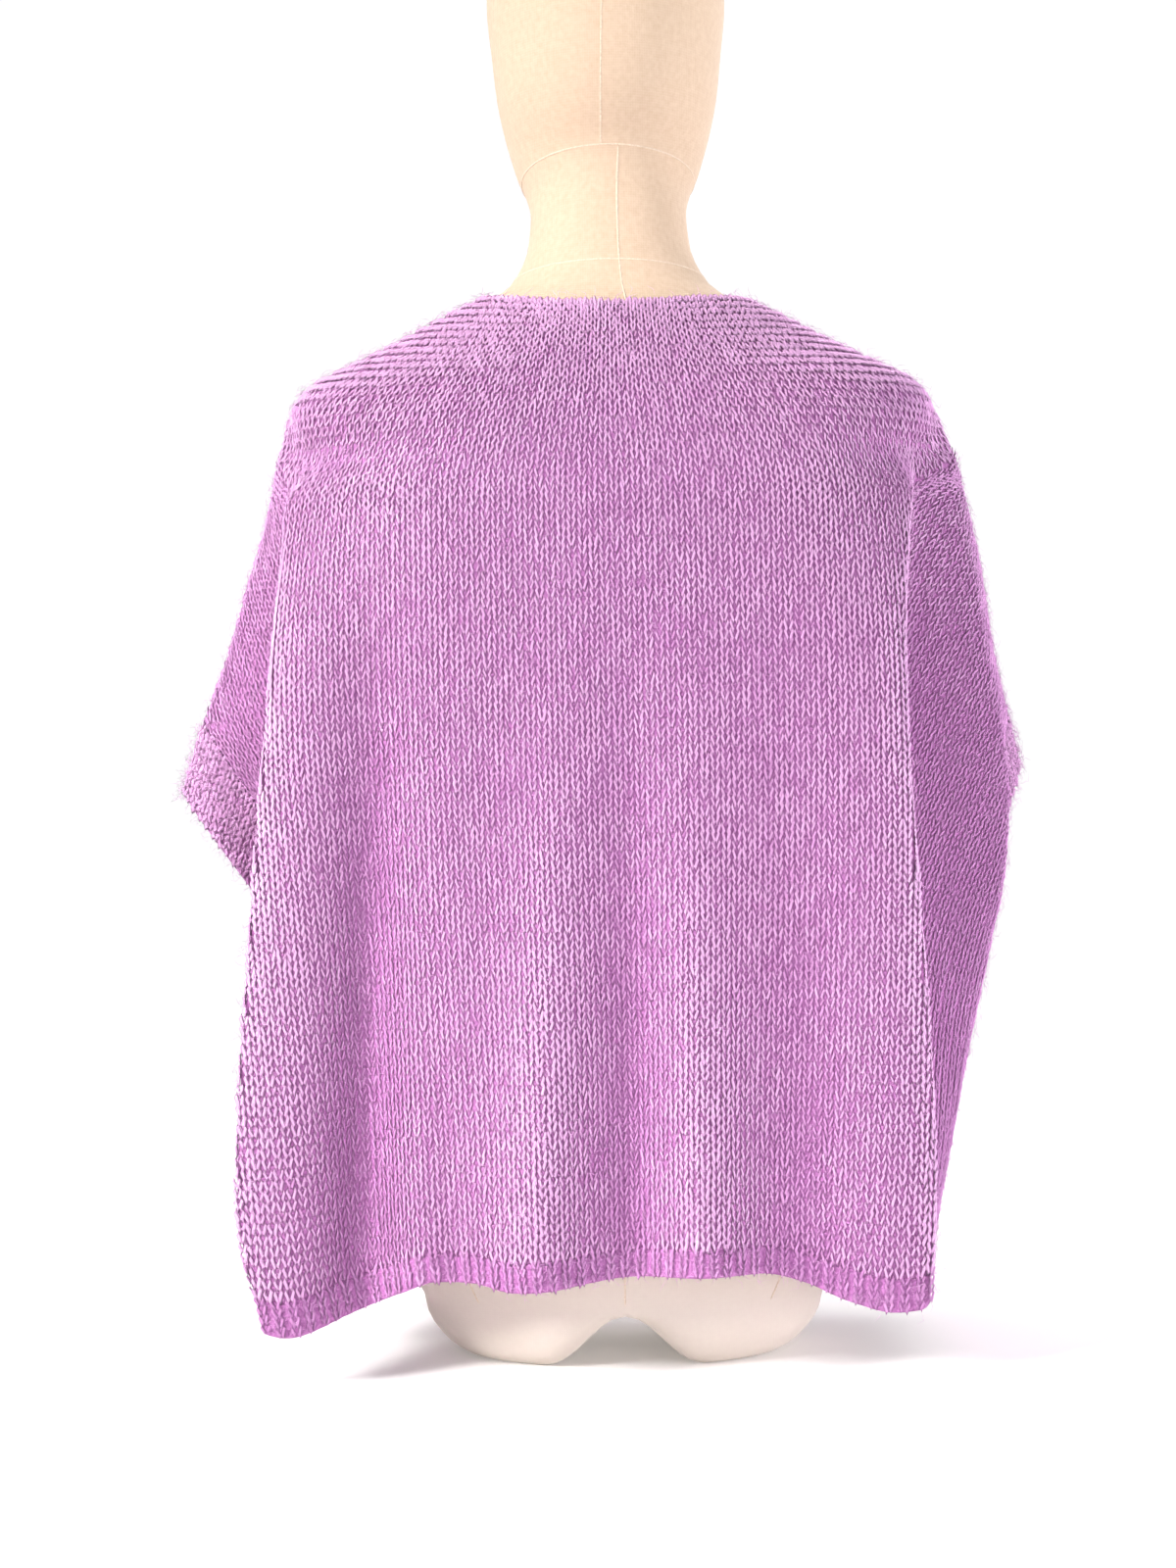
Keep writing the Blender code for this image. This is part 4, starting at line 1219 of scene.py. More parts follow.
@dataclass
class RibBand:
    """A band of one-and-one rib on its own grid, whose first row is the free edge.

    Each rib is one wale of stitches standing proud, and the ground dips between the ribs. The tone
    runs along the band's rows from one end to the other.
    """

    name: str
    outer: Array
    outward: Array
    closed: bool
    flipped: bool
    leg: StitchLeg
    tone: Array
    pitch: float = 1.0
    course: float = 0.48
    yarn: float = 0.12
    spread: float = 0.36
    fibres: int = 1800
    rise: float = 0.035
    ground_depth: float = 0.10
    ground_wall: float = 0.10
    columns_per_rib: int = 8
    first_course: float = 0.66
    last_gap: float = 0.12
    yarn_sunk: float = 0.03
    row_step: float = 0.2

    def evened(self) -> tuple[Array, Array, int]:
        """The band read at even steps along it, with as many columns to every rib.

        Returns:
            The points, the normals and the number of ribs.
        """
        length = arc_lengths(self.outer, axis=1).mean(axis=0)
        ribs = round(float(length[-1]) / self.pitch)
        count = self.columns_per_rib * ribs + 1
        places = np.interp(np.linspace(0, length[-1], count), length, np.arange(len(length)))
        rows = np.arange(self.outer.shape[0])[:, None] + 0.0 * places
        columns = np.broadcast_to(places, rows.shape)
        return read_grid(self.outer, rows, columns), unit(read_grid(self.outward, rows, columns)), ribs

    def ground(self, points: Array, normals: Array) -> MeshData:
        """Skin of the band: a cosine wave along it outside, one to a rib, and level inside.

        Args:
            points: the evened points.
            normals: their normals.

        Returns:
            A closed skin.
        """
        phase = np.arange(points.shape[1]) / self.columns_per_rib
        ridge = self.rise * np.cos(2 * np.pi * (phase - 0.5))[None, :, None]
        outer = points + (ridge - self.ground_depth) * normals
        inner = points - (self.ground_depth + self.ground_wall + self.rise) * normals
        if self.closed:
            outer, inner = outer[:, :-1], inner[:, :-1]
        return thin_shell(outer, inner, self.closed, self.flipped)

    def stitches(self, points: Array, normals: Array, ribs: int) -> StitchField:
        """One wale along the middle of each rib, its courses at even steps from the free edge.

        Args:
            points: the evened points.
            normals: their normals.
            ribs: number of ribs.

        Returns:
            The stitches, with the band's tone read along it.
        """
        across = self.columns_per_rib * (np.arange(ribs) + 0.5)
        depth = arc_lengths(points, axis=0).mean(axis=1)
        count = round(depth[-1] / self.course)
        courses = np.linspace(self.course * self.first_course, depth[-1] - self.last_gap, count)
        row = np.interp(courses, depth, np.arange(len(depth)))[:, None] + 0 * across
        column = across + 0 * row
        centres, outward = read_grid(points, row, column), unit(read_grid(normals, row, column))
        below = read_grid(points, np.maximum(row - self.row_step, 0), column)
        up = unit(read_grid(points, row + self.row_step, column) - below)
        ways = [part.reshape(-1, 3) for part in (centres, up, outward)]
        along = np.linspace(0, 1, len(self.tone))
        tone = np.interp(column.ravel() / (points.shape[1] - 1), along, self.tone)
        sizes = [np.full(row.size, size) for size in (self.pitch, self.course)]
        return StitchField(*ways, *sizes, tone)

    def build(self, ground: Material, yarn: Material, place: Array) -> list[Piece]:
        """Make the band's ground, its stitches and its loose fibres.

        Args:
            ground: finish between the stitches.
            yarn: finish of the stitches.
            place: shift from the tables' axis to the frame's.

        Returns:
            The ground followed by the pieces that lie on it.
        """
        points, normals, ribs = self.evened()
        stitches = self.stitches(points, normals, ribs)
        proud = self.rise - self.yarn_sunk
        gauge = KnitGauge(self.pitch, self.course, self.yarn, self.spread, proud)
        mesh = self.leg.mesh(stitches, gauge, seed=len(self.name))
        halo = MohairHalo().mesh(stitches, self.fibres, seed=3)
        return [
            self.ground(points, normals).to_object(f"rib_ground_{self.name}", place, ground),
            mesh.to_object(f"rib_stitches_{self.name}", place, yarn),
            halo.to_object(f"rib_halo_{self.name}", place, yarn),
        ]


@dataclass
class BandMaker:
    """Grids of the ribbed bands, carried on from the panels' own edges."""

    shape: VestShape
    leg: StitchLeg
    hem_rows: int = 7
    hem_columns: int = 321
    hem_tone: float = 0.1
    arm_rows: int = 10
    arm_places: int = 41
    arm_depth: float = 3.9
    arm_gap: float = 0.04
    # painted shade at the underarm end and painted light at the wing's tip end, as tones along each sleeve
    # band
    arm_tones: tuple[float, float] = (-0.5, 0.95)

    def hem(self, face: Face) -> RibBand:
        """Band below one panel, from the hem up to the panel's lowest row.

        Args:
            face: the panel.

        Returns:
            The band, open at its ends.
        """
        top = self.shape.hem + self.shape.band_depth
        levels = np.linspace(self.shape.hem, top, self.hem_rows)
        across = np.linspace(-1, 1, self.hem_columns)
        grid = ClothGrid.of_panel(self.shape, face, levels, across)
        name, tone = f"hem_{face.name.lower()}", np.full(2, self.hem_tone)
        return RibBand(name, grid.points, grid.normals, False, face is Face.FRONT, self.leg, tone)

    def sleeve(self, side: Side) -> RibBand:
        """Band round one sleeve opening, a short tube that carries on from the wing.

        Its seam follows the edges of both panels from the underarm up the back and down the front.
        Each place moves along a way that turns from the underarm to the wing's tip, and the tone turns with
        it, from painted shade at the underarm to painted light at the wing's tip.

        Args:
            side: the left or right sleeve.

        Returns:
            The band, closed round the sleeve.
        """
        low, high = self.shape.underarm, self.shape.wing_tip
        turn = np.linspace(0, np.pi, self.arm_places)
        levels = (low + high) / 2 - (high - low) / 2 * np.cos(turn)
        edge = np.array([side.value])
        back, front = (self.shape.surface(face, levels, edge)[:, 0] for face in Face)
        ends = (back + front) / 2
        seam = np.concatenate([ends[:1], back[1:-1], ends[-1:], front[-2:0:-1], ends[:1]])
        share = ((seam[:, 2] - seam[:, 2].min()) / np.ptp(seam[:, 2]))[:, None]
        tip, underarm = np.array(ARM_BAND_WAYS[side])
        way = share * tip + (1 - share) * underarm
        around = np.gradient(seam, axis=0)
        around[0] = around[-1] = seam[1] - seam[-2]
        outward = side.value * unit(np.cross(way, around))
        depth = np.linspace(self.arm_depth, self.arm_gap, self.arm_rows)[:, None, None]
        outer = seam + depth * way
        outward = np.broadcast_to(outward, outer.shape)
        # painted shade at the underarm, painted light at the wing's tip
        name, tone = f"sleeve_{side.name.lower()}", np.interp(share[:, 0], (0, 1), self.arm_tones)
        brushed = {"pitch": 0.8, "yarn": 0.15, "spread": 0.45, "fibres": 5500, "rise": 0.012}
        return RibBand(name, outer, outward, True, side is Side.LEFT, self.leg, tone, **brushed)


@dataclass
class LinenForm:
    """The limbless form: torso, neck and smooth head under a linen cover with sewn seams.

    Its underside is read by share of the way out from the middle to the rim, and its crown by
    share of the last ring. A drift is how far a middle seam swings round the form, as an angle. A
    ring seam has its middle height and how much higher it lies at the back.
    """

    shape: FormShape
    columns: int = 120
    rings: int = 120
    jaw_band: tuple[float, float] = (76.0, 84.0)
    jaw_rings: int = 24
    under_shares: tuple[float, ...] = (
        0.18, 0.38, 0.58, 0.70, 0.75, 0.80, 0.84, 0.88, 0.92, 0.955, 0.98, 0.993
    )
    under_knots: tuple[float, ...] = (0.0, 0.75, 0.84, 0.92, 0.98, 1.0)
    under_heights: tuple[float, ...] = (0.0, 0.0, 0.5, 1.5, 2.8, 4.0)
    arch_curve: float = 2.5
    crown_shares: tuple[float, ...] = (0.8, 0.55, 0.28)
    seam_radius: float = 0.07
    seam_sunk: float = 0.02
    seam_tip: float = 0.1
    seam_sides: int = 6
    seam_foot: float = 4.2
    jaw: float = 80.4
    crown: float = 99.8
    neck_drift: float = 0.10
    neck_drift_shares: tuple[float, float] = (0.6, 0.9)
    head_drift: float = 0.08
    ring_seams: tuple[tuple[float, float], ...] = ((79.0, 1.4), (72.2, 0.6))
    hip_seam_top: float = 64.2
    hip_seam_angle: float = 0.72

    def heights(self) -> Array:
        """Ring heights at even steps up the form, with more of them at the jaw, where it is rounder.

        Returns:
            Rising heights.
        """
        low, high = self.shape.sections[0].height, self.shape.sections[-1].height
        jaw = np.linspace(*self.jaw_band, self.jaw_rings)
        return np.unique(np.concatenate([np.linspace(low, high, self.rings), jaw]))

    def underside(self, angle: Array) -> list[Array]:
        """Rings under the form from the middle out: shares of the rim, flat at first and rounded
        towards it, and raised by a power of a sine of the nearness to the middle line for the arch.

        Args:
            angle: angles round the form.

        Returns:
            The rings, each a row of points.
        """
        rim_height = self.shape.sections[0].height
        shares = np.array(self.under_shares)
        heights = smooth_through(self.under_knots, self.under_heights, shares)
        ring = self.shape.points(rim_height, angle)[None] * shares[:, None, None]
        near = np.clip(1 - np.abs(ring[..., 0]) / self.shape.arch_half_width, 0, 1)
        arch = self.shape.arch_height * np.sin(np.pi / 2 * near) ** self.arch_curve
        ring[..., 2] = heights + arch * (1 - heights / rim_height)
        return list(ring)

    def crown_rings(self, angle: Array) -> list[Array]:
        """Rings over the last section, each a share of it, along a parabola up to the top.

        Args:
            angle: angles round the form.

        Returns:
            The rings, each a row of points.
        """
        last = self.shape.sections[-1]
        centre = np.array([0.0, last.widest, last.height])
        rings = []
        for share in self.crown_shares:
            ring = centre + (self.shape.points(last.height, angle) - centre) * share
            ring[:, 2] = last.height + (self.shape.top - last.height) * (1 - share**2)
            rings.append(ring)
        return rings

    def body(self) -> MeshData:
        """The whole cover: rings joined one to the next, and closed by a point at each end.

        Returns:
            One closed body of triangles.
        """
        angle = np.linspace(0, 2 * np.pi, self.columns, endpoint=False)
        sides = list(self.shape.points(self.heights()[:, None], angle[None, :]))
        rings = self.underside(angle) + sides + self.crown_rings(angle)
        skin = grid_faces(len(rings), self.columns, closed=True)
        faces = np.concatenate([skin[:, [0, 1, 2]], skin[:, [0, 2, 3]]])
        poles = [[0, self.shape.sections[-1].widest, self.shape.top], [0, 0, self.shape.arch_height]]
        points = np.vstack([np.concatenate(rings), poles])
        now = np.arange(self.columns)
        following = np.roll(now, -1)
        top = (len(rings) - 1) * self.columns
        crown = np.stack([top + now, top + following, 0 * now + len(points) - 2], axis=1)
        middle = np.stack([following, now, 0 * now + len(points) - 1], axis=1)
        return MeshData(points, np.concatenate([faces, crown, middle]))

    def seam(self, height: Array, angle: Array) -> MeshData:
        """A thin welt of thread and cloth: a small ring carried along a path on the form.

        Args:
            height: heights of the path.
            angle: its angles round the form.

        Returns:
            A closed tube, half sunk in the cover.
        """
        line = self.shape.offset(height, angle, -self.seam_sunk)
        outward = unit(self.shape.offset(height, angle, 1.0) - line)
        flat = unit(np.cross(unit(np.gradient(line, axis=0)), outward))
        turn = np.arange(self.seam_sides) * 2 * np.pi / self.seam_sides
        ring = np.cos(turn)[:, None] * flat[:, None] + np.sin(turn)[:, None] * outward[:, None]
        tube = line[:, None] + self.seam_radius * ring
        tube[[0, -1]] = line[[0, -1], None] + self.seam_tip * self.seam_radius * ring[[0, -1]]
        skin = grid_faces(len(line), self.seam_sides, closed=True)
        caps = np.array([[0, 1, 2, 3], [0, 3, 4, 5]])
        end = caps + self.seam_sides * (len(line) - 1)
        return MeshData(tube.reshape(-1, 3), np.concatenate([skin[:, ::-1], caps, end[:, ::-1]]))

    def seams(self) -> MeshData:
        """All the cover's seams: down the back and front, round the neck, and over the hips.

        Returns:
            The welts as one mesh.
        """
        rise, around = np.linspace(0, 1, 160), np.linspace(-1, 1, 120)
        back = -np.pi / 2
        paths = []
        for middle in (back, -back):
            swing = self.neck_drift * ease(*self.neck_drift_shares, rise)
            paths.append((self.seam_foot + (self.jaw - self.seam_foot) * rise, middle + swing))
            swing = self.head_drift * (1 - rise)
            paths.append((self.jaw + (self.crown - self.jaw) * rise, middle - swing))
        for height, higher in self.ring_seams:
            paths.append((height + higher * np.cos(np.pi * around), back + np.pi * around))
        for middle in (back, -back):
            for angle in (middle - self.hip_seam_angle, middle + self.hip_seam_angle):
                height = self.seam_foot + (self.hip_seam_top - self.seam_foot) * rise
                paths.append((height, angle + 0 * rise))
        return reduce(MeshData.joined, [self.seam(height, angle) for height, angle in paths])

    def build(self, cover: Material, seam: Material, place: Array) -> list[Piece]:
        """Make the covered form and its seams."""
        form = self.body().to_object("linen_form", place, cover)
        return [form, self.seams().to_object("form_seams", place, seam)]


def linear(code: str) -> tuple[float, float, float, float]:
    """A screen colour as a linear one: each part raised to 2.4, with a straight start.

    Args:
        code: sRGB in hex, such as "C8A0C0".

    Returns:
        The linear red, green, blue and alpha that the shaders take.
    """
    values = np.array([int(code[i : i + 2], 16) for i in (0, 2, 4)]) / 255
    lit = np.where(values <= 0.04045, values / 12.92, ((values + 0.055) / 1.055) ** 2.4)
    return (float(lit[0]), float(lit[1]), float(lit[2]), 1.0)


def set_inputs(tree: Tree, node: Node, inputs: dict) -> None:
    """Give a node's inputs plain values, or link other nodes' outputs to them.

    Args:
        tree: the nodes that it belongs to.
        node: the node.
        inputs: socket name or number to a plain value or to another node's output.
    """
    for name, value in inputs.items():
        if isinstance(value, Socket):
            tree.links.new(value, node.inputs[name])
        else:
            node.inputs[name].default_value = value


def add_node(tree: Tree, kind: str, inputs: dict, stops: tuple = (), **settings: object) -> Node:
    """Add a node, set its properties and a ramp's colours, and set or link its inputs.

    Args:
        tree: the material's nodes.
        kind: the node's type name.
        inputs: socket name or number to a plain value or to another node's output.
        stops: places and screen colours of a ramp, in rising order.
        settings: properties of the node itself.

    Returns:
        The new node.
    """
    node = tree.nodes.new(kind)
    for name, value in settings.items():
        setattr(node, name, value)
    if stops:
        elements = node.color_ramp.elements
        elements.remove(elements[1])
        for place, code in stops[1:]:
            elements.new(place).color = linear(code)
        elements[0].position, elements[0].color = stops[0][0], linear(stops[0][1])
    set_inputs(tree, node, inputs)
    return node


def new_material(name: str) -> tuple[Material, Tree, Node, Socket]:
    """An empty material.

    Args:
        name: the material's name.

    Returns:
        The material, its node tree, its own shader, and the object coordinates in metres.
    """
    material = bpy.data.materials.new(name)
    material.use_nodes = True
    tree = material.node_tree
    place = add_node(tree, "ShaderNodeTexCoord", {}).outputs["Object"]
    return material, tree, tree.nodes["Principled BSDF"], place


@dataclass(frozen=True)
class Nap:
    """How a cloth takes light: matt, with the sheen of its fibres and small humps in metres."""

    roughness: float
    sheen: float
    sheen_tint: str
    specular: float
    hump_strength: float
    hump_depth: float

    def lay(self, tree: Tree, shader: Node, colour: Socket, humps: dict) -> None:
        """Give a cloth's shader its colour, its sheen and its humps.

        Args:
            tree: the material's nodes.
            shader: the material's own shader.
            colour: the cloth's colour.
            humps: where the humps are, and the way that the cloth faces if that isn't its own.
        """
        humps = humps | {"Strength": self.hump_strength, "Distance": self.hump_depth}
        inputs = {
            "Base Color": colour,
            "Roughness": self.roughness,
            "Sheen Weight": self.sheen,
            "Sheen Tint": linear(self.sheen_tint),
            "Specular IOR Level": self.specular,
            "Normal": add_node(tree, "ShaderNodeBump", humps).outputs["Normal"],
        }
        set_inputs(tree, shader, inputs)


@dataclass(frozen=True)
class MohairYarn:
    """Mohair yarn, spun thick and brushed.

    The raised fibres blur each stitch, so its lilac turns paler and softer where they are thick. The tone
    that picks the lilac also carries painted light and painted shade.
    A single fibre is far too fine to show, so the fibre pattern is drawn as coarse as a tuft.
    Spacings are in millimetres.
    """

    name: str = "lilac_mohair_yarn"
    tones: tuple[tuple[float, str], ...] = ((0.3, "C785C2"), (0.72, "DE9FD8"), (0.96, "EBB5E5"))
    tuft_spacing: float = 1.11
    patch_spacing: float = 45.5
    tuft_share: float = 0.45
    patch_share: float = 0.35
    nap: Nap = Nap(
        roughness=0.92, sheen=0.35, sheen_tint="F3D3F2", specular=0.2, hump_strength=0.5, hump_depth=0.0006
    )

    def material(self) -> Material:
        """The stitches' tone, which carries painted light and shade, plus a share of the tufts and of the
        patches, through a ramp.

        Returns:
            A material that reads the attributes tone and facing.
        """
        material, tree, shader, place = new_material(self.name)
        # the tone attribute holds painted light and painted shade as well as the yarn's own variation
        mixed = add_node(tree, "ShaderNodeAttribute", {}, attribute_name="tone").outputs["Fac"]
        facing = add_node(tree, "ShaderNodeAttribute", {}, attribute_name="facing").outputs["Vector"]
        spots = []
        kinds = ((self.tuft_spacing, self.tuft_share), (self.patch_spacing, self.patch_share))
        for spacing, share in kinds:
            inputs = {"Vector": place, "Scale": MM_IN_METRE / spacing, "Detail": 2.0}
            spots.append(add_node(tree, "ShaderNodeTexNoise", inputs).outputs["Fac"])
            inputs = {0: spots[-1], 1: share, 2: mixed}
            mixed = add_node(tree, "ShaderNodeMath", inputs, operation="MULTIPLY_ADD").outputs[0]
        colour = add_node(tree, "ShaderNodeValToRGB", {"Fac": mixed}, self.tones).outputs["Color"]
        self.nap.lay(tree, shader, colour, {"Height": spots[0], "Normal": facing})
        return material


@dataclass(frozen=True)
class KnitGround:
    """The backs of the mohair stitches, unbrushed and in shade.

    They are what shows between the stitches: plum, darkened as painted shade in the gaps, matt and a little
    fibrous. The fibres are drawn as coarse as a strand, and their spacing is in millimetres.
    """

    name: str = "plum_knit_ground"
    # plums darker than the yarn: painted shade in the gaps between the stitches
    dark: str = "A0609A"
    light: str = "C482BE"
    strand_spacing: float = 2.38
    nap: Nap = Nap(
        roughness=0.95, sheen=0.2, sheen_tint="E8B8E4", specular=0.15, hump_strength=0.6, hump_depth=0.0015
    )

    def material(self) -> Material:
        """Two plums mixed by noise, with small humps where it is high.

        Returns:
            A material that reads object coordinates.
        """
        material, tree, shader, place = new_material(self.name)
        inputs = {"Vector": place, "Scale": MM_IN_METRE / self.strand_spacing, "Detail": 4.0}
        strands = add_node(tree, "ShaderNodeTexNoise", inputs).outputs["Fac"]
        stops = tuple(zip(NOISE_RANGE, (self.dark, self.light)))
        colour = add_node(tree, "ShaderNodeValToRGB", {"Fac": strands}, stops).outputs["Color"]
        self.nap.lay(tree, shader, colour, {"Height": strands})
        return material


@dataclass(frozen=True)
class LinenCover:
    """Unbleached linen, plain woven with thick and thin threads.

    It is a matt cream with a fine crossed grain, turned paler and greyer low down as painted light bounced
    from the floor. Real threads lie about 0.6 mm apart, and they are drawn wider to show in the picture.
    Spacings are in millimetres, and the stretch of painted bounce light is in metres up the form.
    """

    name: str = "cream_linen"
    tones: tuple[tuple[float, str], ...] = ((0.25, "C8AE93"), (0.95, "D7C1A8"))
    # painted light: a paler, greyer cream mixed in low down for light bounced from the floor
    unworn: str = "DBD3CC"
    unworn_up_to: tuple[float, float] = (0.04, 0.30)
    unworn_share: float = 0.75
    thread_spacing: float = 1.56
    slub_spacing: float = 3.85
    weave_share: float = 0.12
    unsteadiness: float = 2.5
    nap: Nap = Nap(
        roughness=0.88, sheen=0.15, sheen_tint="FFFFFF", specular=0.25, hump_strength=0.35, hump_depth=0.0006
    )

    def weave(self, tree: Tree, place: Socket) -> Socket:
        """Upright threads plus level threads, each a wave along one way, a little unsteady.

        Args:
            tree: the material's nodes.
            place: object coordinates.

        Returns:
            The sum of both waves.
        """
        inputs = {"Vector": place, "Scale": MM_IN_METRE / self.thread_spacing / WAVE_BANDS}
        inputs |= {"Distortion": self.unsteadiness, "Detail": 2.0, "Detail Scale": 2.0}
        waves = [add_node(tree, "ShaderNodeTexWave", inputs, bands_direction=way) for way in "XZ"]
        inputs = {0: waves[0].outputs["Fac"], 1: waves[1].outputs["Fac"]}
        return add_node(tree, "ShaderNodeMath", inputs, operation="ADD").outputs[0]

    def material(self) -> Material:
        """Slubs from noise plus a share of the weave, mixed towards a paler painted bounce light low down.

        Returns:
            A material that reads object coordinates.
        """
        material, tree, shader, place = new_material(self.name)
        inputs = {"Vector": place, "Scale": MM_IN_METRE / self.slub_spacing, "Detail": 4.0}
        slubs = add_node(tree, "ShaderNodeTexNoise", inputs).outputs["Fac"]
        inputs = {0: self.weave(tree, place), 1: self.weave_share, 2: slubs}
        mixed = add_node(tree, "ShaderNodeMath", inputs, operation="MULTIPLY_ADD").outputs[0]
        colour = add_node(tree, "ShaderNodeValToRGB", {"Fac": mixed}, self.tones).outputs["Color"]
        low, high = self.unworn_up_to
        height = add_node(tree, "ShaderNodeSeparateXYZ", {"Vector": place}).outputs["Z"]
        inputs = {"Value": height, "From Min": low, "From Max": high, "To Min": self.unworn_share}
        share = add_node(tree, "ShaderNodeMapRange", inputs | {"To Max": 0.0}).outputs["Result"]
        inputs = {0: share, 6: colour, 7: linear(self.unworn)}
        shaded = add_node(tree, "ShaderNodeMix", inputs, data_type="RGBA").outputs[2]
        self.nap.lay(tree, shader, shaded, {"Height": mixed})
        return material


@dataclass(frozen=True)
class PlainFinish:
    """A matt finish with a faint mottle: rolled linen at the seams, and painted paper on the floor.

    The mottle's spacing is in millimetres.
    """

    name: str
    dark: str
    light: str
    spacing: float
    glow: float = 0.0
    roughness: float = 0.9

    def material(self) -> Material:
        """Two near colours mixed by noise, lit from below where the finish glows.

        Returns:
            A material that reads object coordinates.
        """
        material, tree, shader, place = new_material(self.name)
        inputs = {"Vector": place, "Scale": MM_IN_METRE / self.spacing, "Detail": 3.0}
        mottle = add_node(tree, "ShaderNodeTexNoise", inputs).outputs["Fac"]
        stops = tuple(zip(NOISE_RANGE, (self.dark, self.light)))
        colour = add_node(tree, "ShaderNodeValToRGB", {"Fac": mottle}, stops).outputs["Color"]
        glow = {"Emission Color": linear(self.light), "Emission Strength": self.glow}
        set_inputs(tree, shader, {"Base Color": colour, "Roughness": self.roughness} | glow)
        return material


@dataclass(frozen=True)
class SoftLight:
    """A square soft light that faces the form's axis.

    Its place and the height that it faces are in centimetres from the form's foot, its side in
    metres, its power in watts, and the way that its grid lets the light out in degrees.
    """

    name: str
    at: Place
    size: float
    watts: float
    colour: str
    aim: float = 45.0
    spread: float = 180.0

    def build(self, place: Array) -> None:
        """Hang the light round the form, turned to face its axis.

        Args:
            place: shift from the tables' axis to the frame's.
        """
        data = bpy.data.lights.new(self.name, "AREA")
        data.shape, data.size, data.energy = "SQUARE", self.size, self.watts
        data.color = linear(self.colour)[:3]
        data.spread = np.radians(self.spread)
        lamp = bpy.data.objects.new(self.name, data)
        lamp.location = np.array(self.at) * CM + place
        way = np.array([0.0, 0.0, self.aim]) * CM + place - np.array(lamp.location)
        yaw, pitch = np.arctan2(way[1], way[0]), np.arctan2(way[2], np.hypot(way[0], way[1]))
        lamp.rotation_euler = (pitch + np.pi / 2, 0.0, yaw - np.pi / 2)
        bpy.context.scene.collection.objects.link(lamp)


LIGHTS = (
    SoftLight("key_light", (-385.0, -285.0, 270.0), 1.5, 15.0, "FFFCFB", aim=20.0, spread=26.0),
    SoftLight("side_light", (340.0, -60.0, 60.0), 1.6, 70.0, "FBF8FF"),
    SoftLight("fill_light", (110.0, -300.0, 70.0), 1.6, 21.0, "F6F4FF"),
    SoftLight("low_light", (20.0, -130.0, 14.0), 0.5, 3.0, "FFFFFF"),
    SoftLight("back_light", (60.0, 190.0, 170.0), 1.6, 22.0, "FFFFFF"),
)


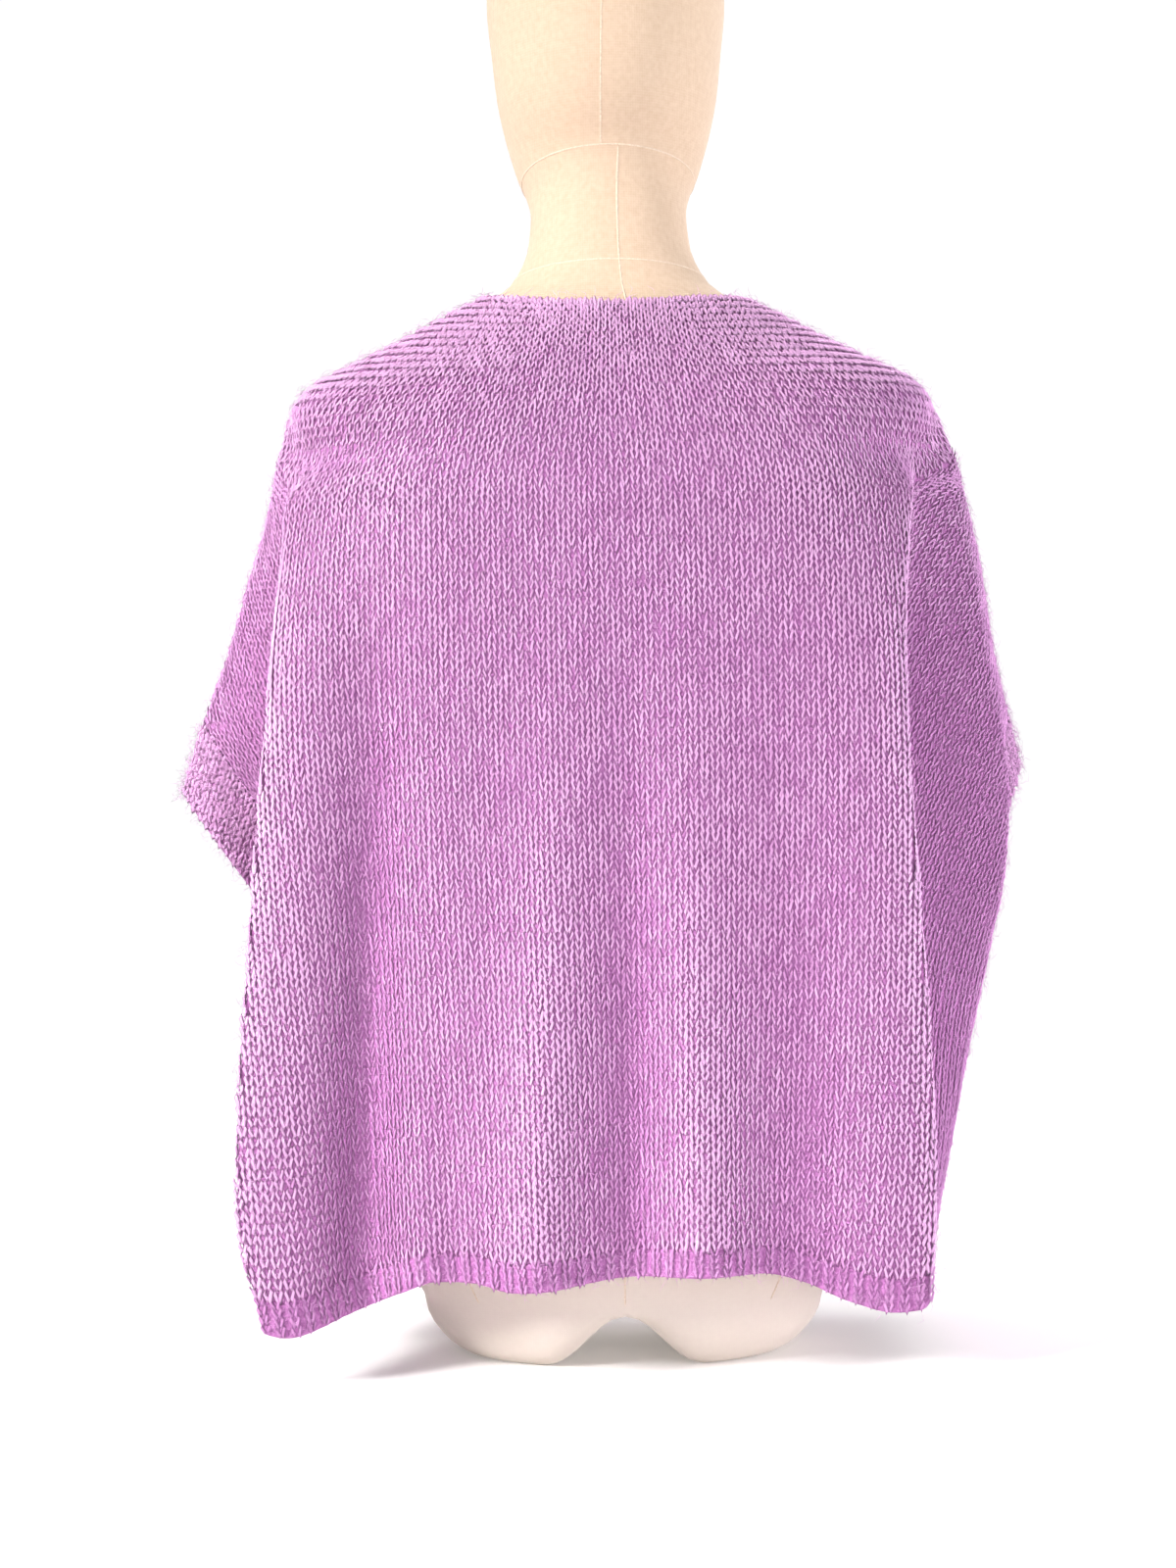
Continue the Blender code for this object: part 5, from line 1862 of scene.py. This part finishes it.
@dataclass
class Studio:
    """Pale floor, soft lights and the camera at the photograph's place.

    The camera's place is in centimetres from the form's foot, its roll is an angle, and its focal
    length is in pixels of a picture with the given longer side. The walls glow more behind the
    form than in front of it.
    """

    place: Array
    camera_side: float = -1.93
    camera_distance: float = 200.0
    camera_height: float = 38.1
    focal_pixels: float = 3000.0
    longer_side_pixels: float = 1600.0
    sensor_width: float = 36.0
    roll: float = 0.0139
    floor_radius: float = 190.0
    floor_corners: int = 96
    floor_drop: float = 0.02
    walls: str = "FFFEFF"
    wall_glow: tuple[float, float] = (0.36, 1.03)
    wall_turn: tuple[float, float] = (-0.6, 0.7)

    def floor(self, finish: PlainFinish) -> None:
        """A round pale floor just under the form.

        Args:
            finish: its look.
        """
        now = np.arange(self.floor_corners)
        turn = 2 * np.pi * now / self.floor_corners
        rim = self.floor_radius * np.stack([np.cos(turn), np.sin(turn), 0 * turn], axis=1)
        points = np.vstack([rim, [0.0, 0.0, 0.0]]) - [0.0, 0.0, self.floor_drop]
        faces = np.stack([now, np.roll(now, -1), 0 * now + self.floor_corners], axis=1)
        floor = MeshData(points, faces).to_object("studio_floor", 0 * self.place, finish.material())

    def camera(self) -> None:
        """The camera: level, square to the back, turned a little about its own view."""
        data = bpy.data.cameras.new("photo_camera")
        data.sensor_width = self.sensor_width
        data.lens = self.focal_pixels / self.longer_side_pixels * self.sensor_width
        camera = bpy.data.objects.new("photo_camera", data)
        stand = np.array([self.camera_side, -self.camera_distance, self.camera_height])
        camera.location = stand * CM + self.place
        camera.rotation_euler = (np.pi / 2, self.roll, 0.0)
        bpy.context.scene.collection.objects.link(camera)
        bpy.context.scene.camera = camera

    def surroundings(self) -> None:
        """Pale light from all round, stronger from the wall behind the form than from in front."""
        world = bpy.data.worlds.new("studio")
        world.use_nodes = True
        tree = world.node_tree
        way = add_node(tree, "ShaderNodeTexCoord", {}).outputs["Generated"]
        depth = add_node(tree, "ShaderNodeSeparateXYZ", {"Vector": way}).outputs["Y"]
        sockets = ("From Min", "From Max", "To Min", "To Max")
        inputs = {"Value": depth} | dict(zip(sockets, self.wall_turn + self.wall_glow))
        glow = add_node(tree, "ShaderNodeMapRange", inputs, interpolation_type="SMOOTHSTEP")
        walls = {"Color": linear(self.walls), "Strength": glow.outputs["Result"]}
        set_inputs(tree, tree.nodes["Background"], walls)
        bpy.context.scene.world = world

    def build(self) -> None:
        """Set up the whole studio."""
        self.floor(PlainFinish("pale_floor", "F4F3F2", "FAF9F8", 333.0, glow=0.14))
        self.surroundings()
        for light in LIGHTS:
            light.build(self.place)
        self.camera()
        bpy.context.scene.view_settings.view_transform = "Standard"


@dataclass
class DressedVest:
    """The whole part: two panels, four ribbed bands and the form that carries them."""

    form: FormShape = field(default_factory=FormShape)

    def panels(self, shape: VestShape) -> list[KnitPanel]:
        """Back and front panel. The back shows in the photograph, so it has more loose fibres.

        Args:
            shape: the vest's surface.

        Returns:
            Both panels.
        """
        gauge = KnitGauge(wale=0.69, course=0.56, yarn=0.095)
        return [
            KnitPanel(shape, Face.BACK, gauge, StitchLeg(), stitch_parts=2, fibres=19000),
            KnitPanel(shape, Face.FRONT, gauge, StitchLeg(), stitch_parts=2, fibres=8000),
        ]

    def claim(self, made: list[Piece], node: str) -> None:
        """Hang pieces on the part's one body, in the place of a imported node.

        Args:
            made: the pieces.
            node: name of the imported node.
        """
        for piece in made:
            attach(piece, ROOT)
            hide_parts(node)
            LOG.info("made %s for %s", piece.name, node)

    def build(self) -> None:
        place = self.form.place()
        yarn, ground = MohairYarn().material(), KnitGround().material()
        # paler plum ground for the sleeve bands: brushed yarn, and painted light for bands that face down
        # away from the lamps
        brushed = KnitGround("brushed_rib_ground", "B06EAA", "CA8CC4").material()
        cover = LinenCover().material()
        welt = PlainFinish("linen_welt", "D2BDA6", "E6D6C3", 1.43).material()
        carried = LinenForm(self.form).build(cover, welt, place)
        self.claim(carried, "dress_form")
        shape = VestShape(self.form)
        panels = self.panels(shape)
        for panel in panels:
            made = panel.build(ground, yarn, place)
            self.claim(made, f"{panel.name}_panel")
        bands = BandMaker(shape, StitchLeg())
        for panel in panels:
            made = bands.hem(panel.face).build(ground, yarn, place)
            self.claim(made, f"hem_band_{panel.name}")
            rests = [f"knit_ground_{panel.name}"]
        for side in Side:
            made = bands.sleeve(side).build(brushed, yarn, place)
            name = side.name.lower()
            self.claim(made, f"sleeve_band_{name}")
            rests = ["knit_ground_back", "knit_ground_front"]
        Studio(place).build()


def main() -> None:
    """Build the part's looks."""
    logging.basicConfig(level=logging.INFO, format="%(message)s")
    DressedVest().build()


if __name__ == "__main__":
    main()
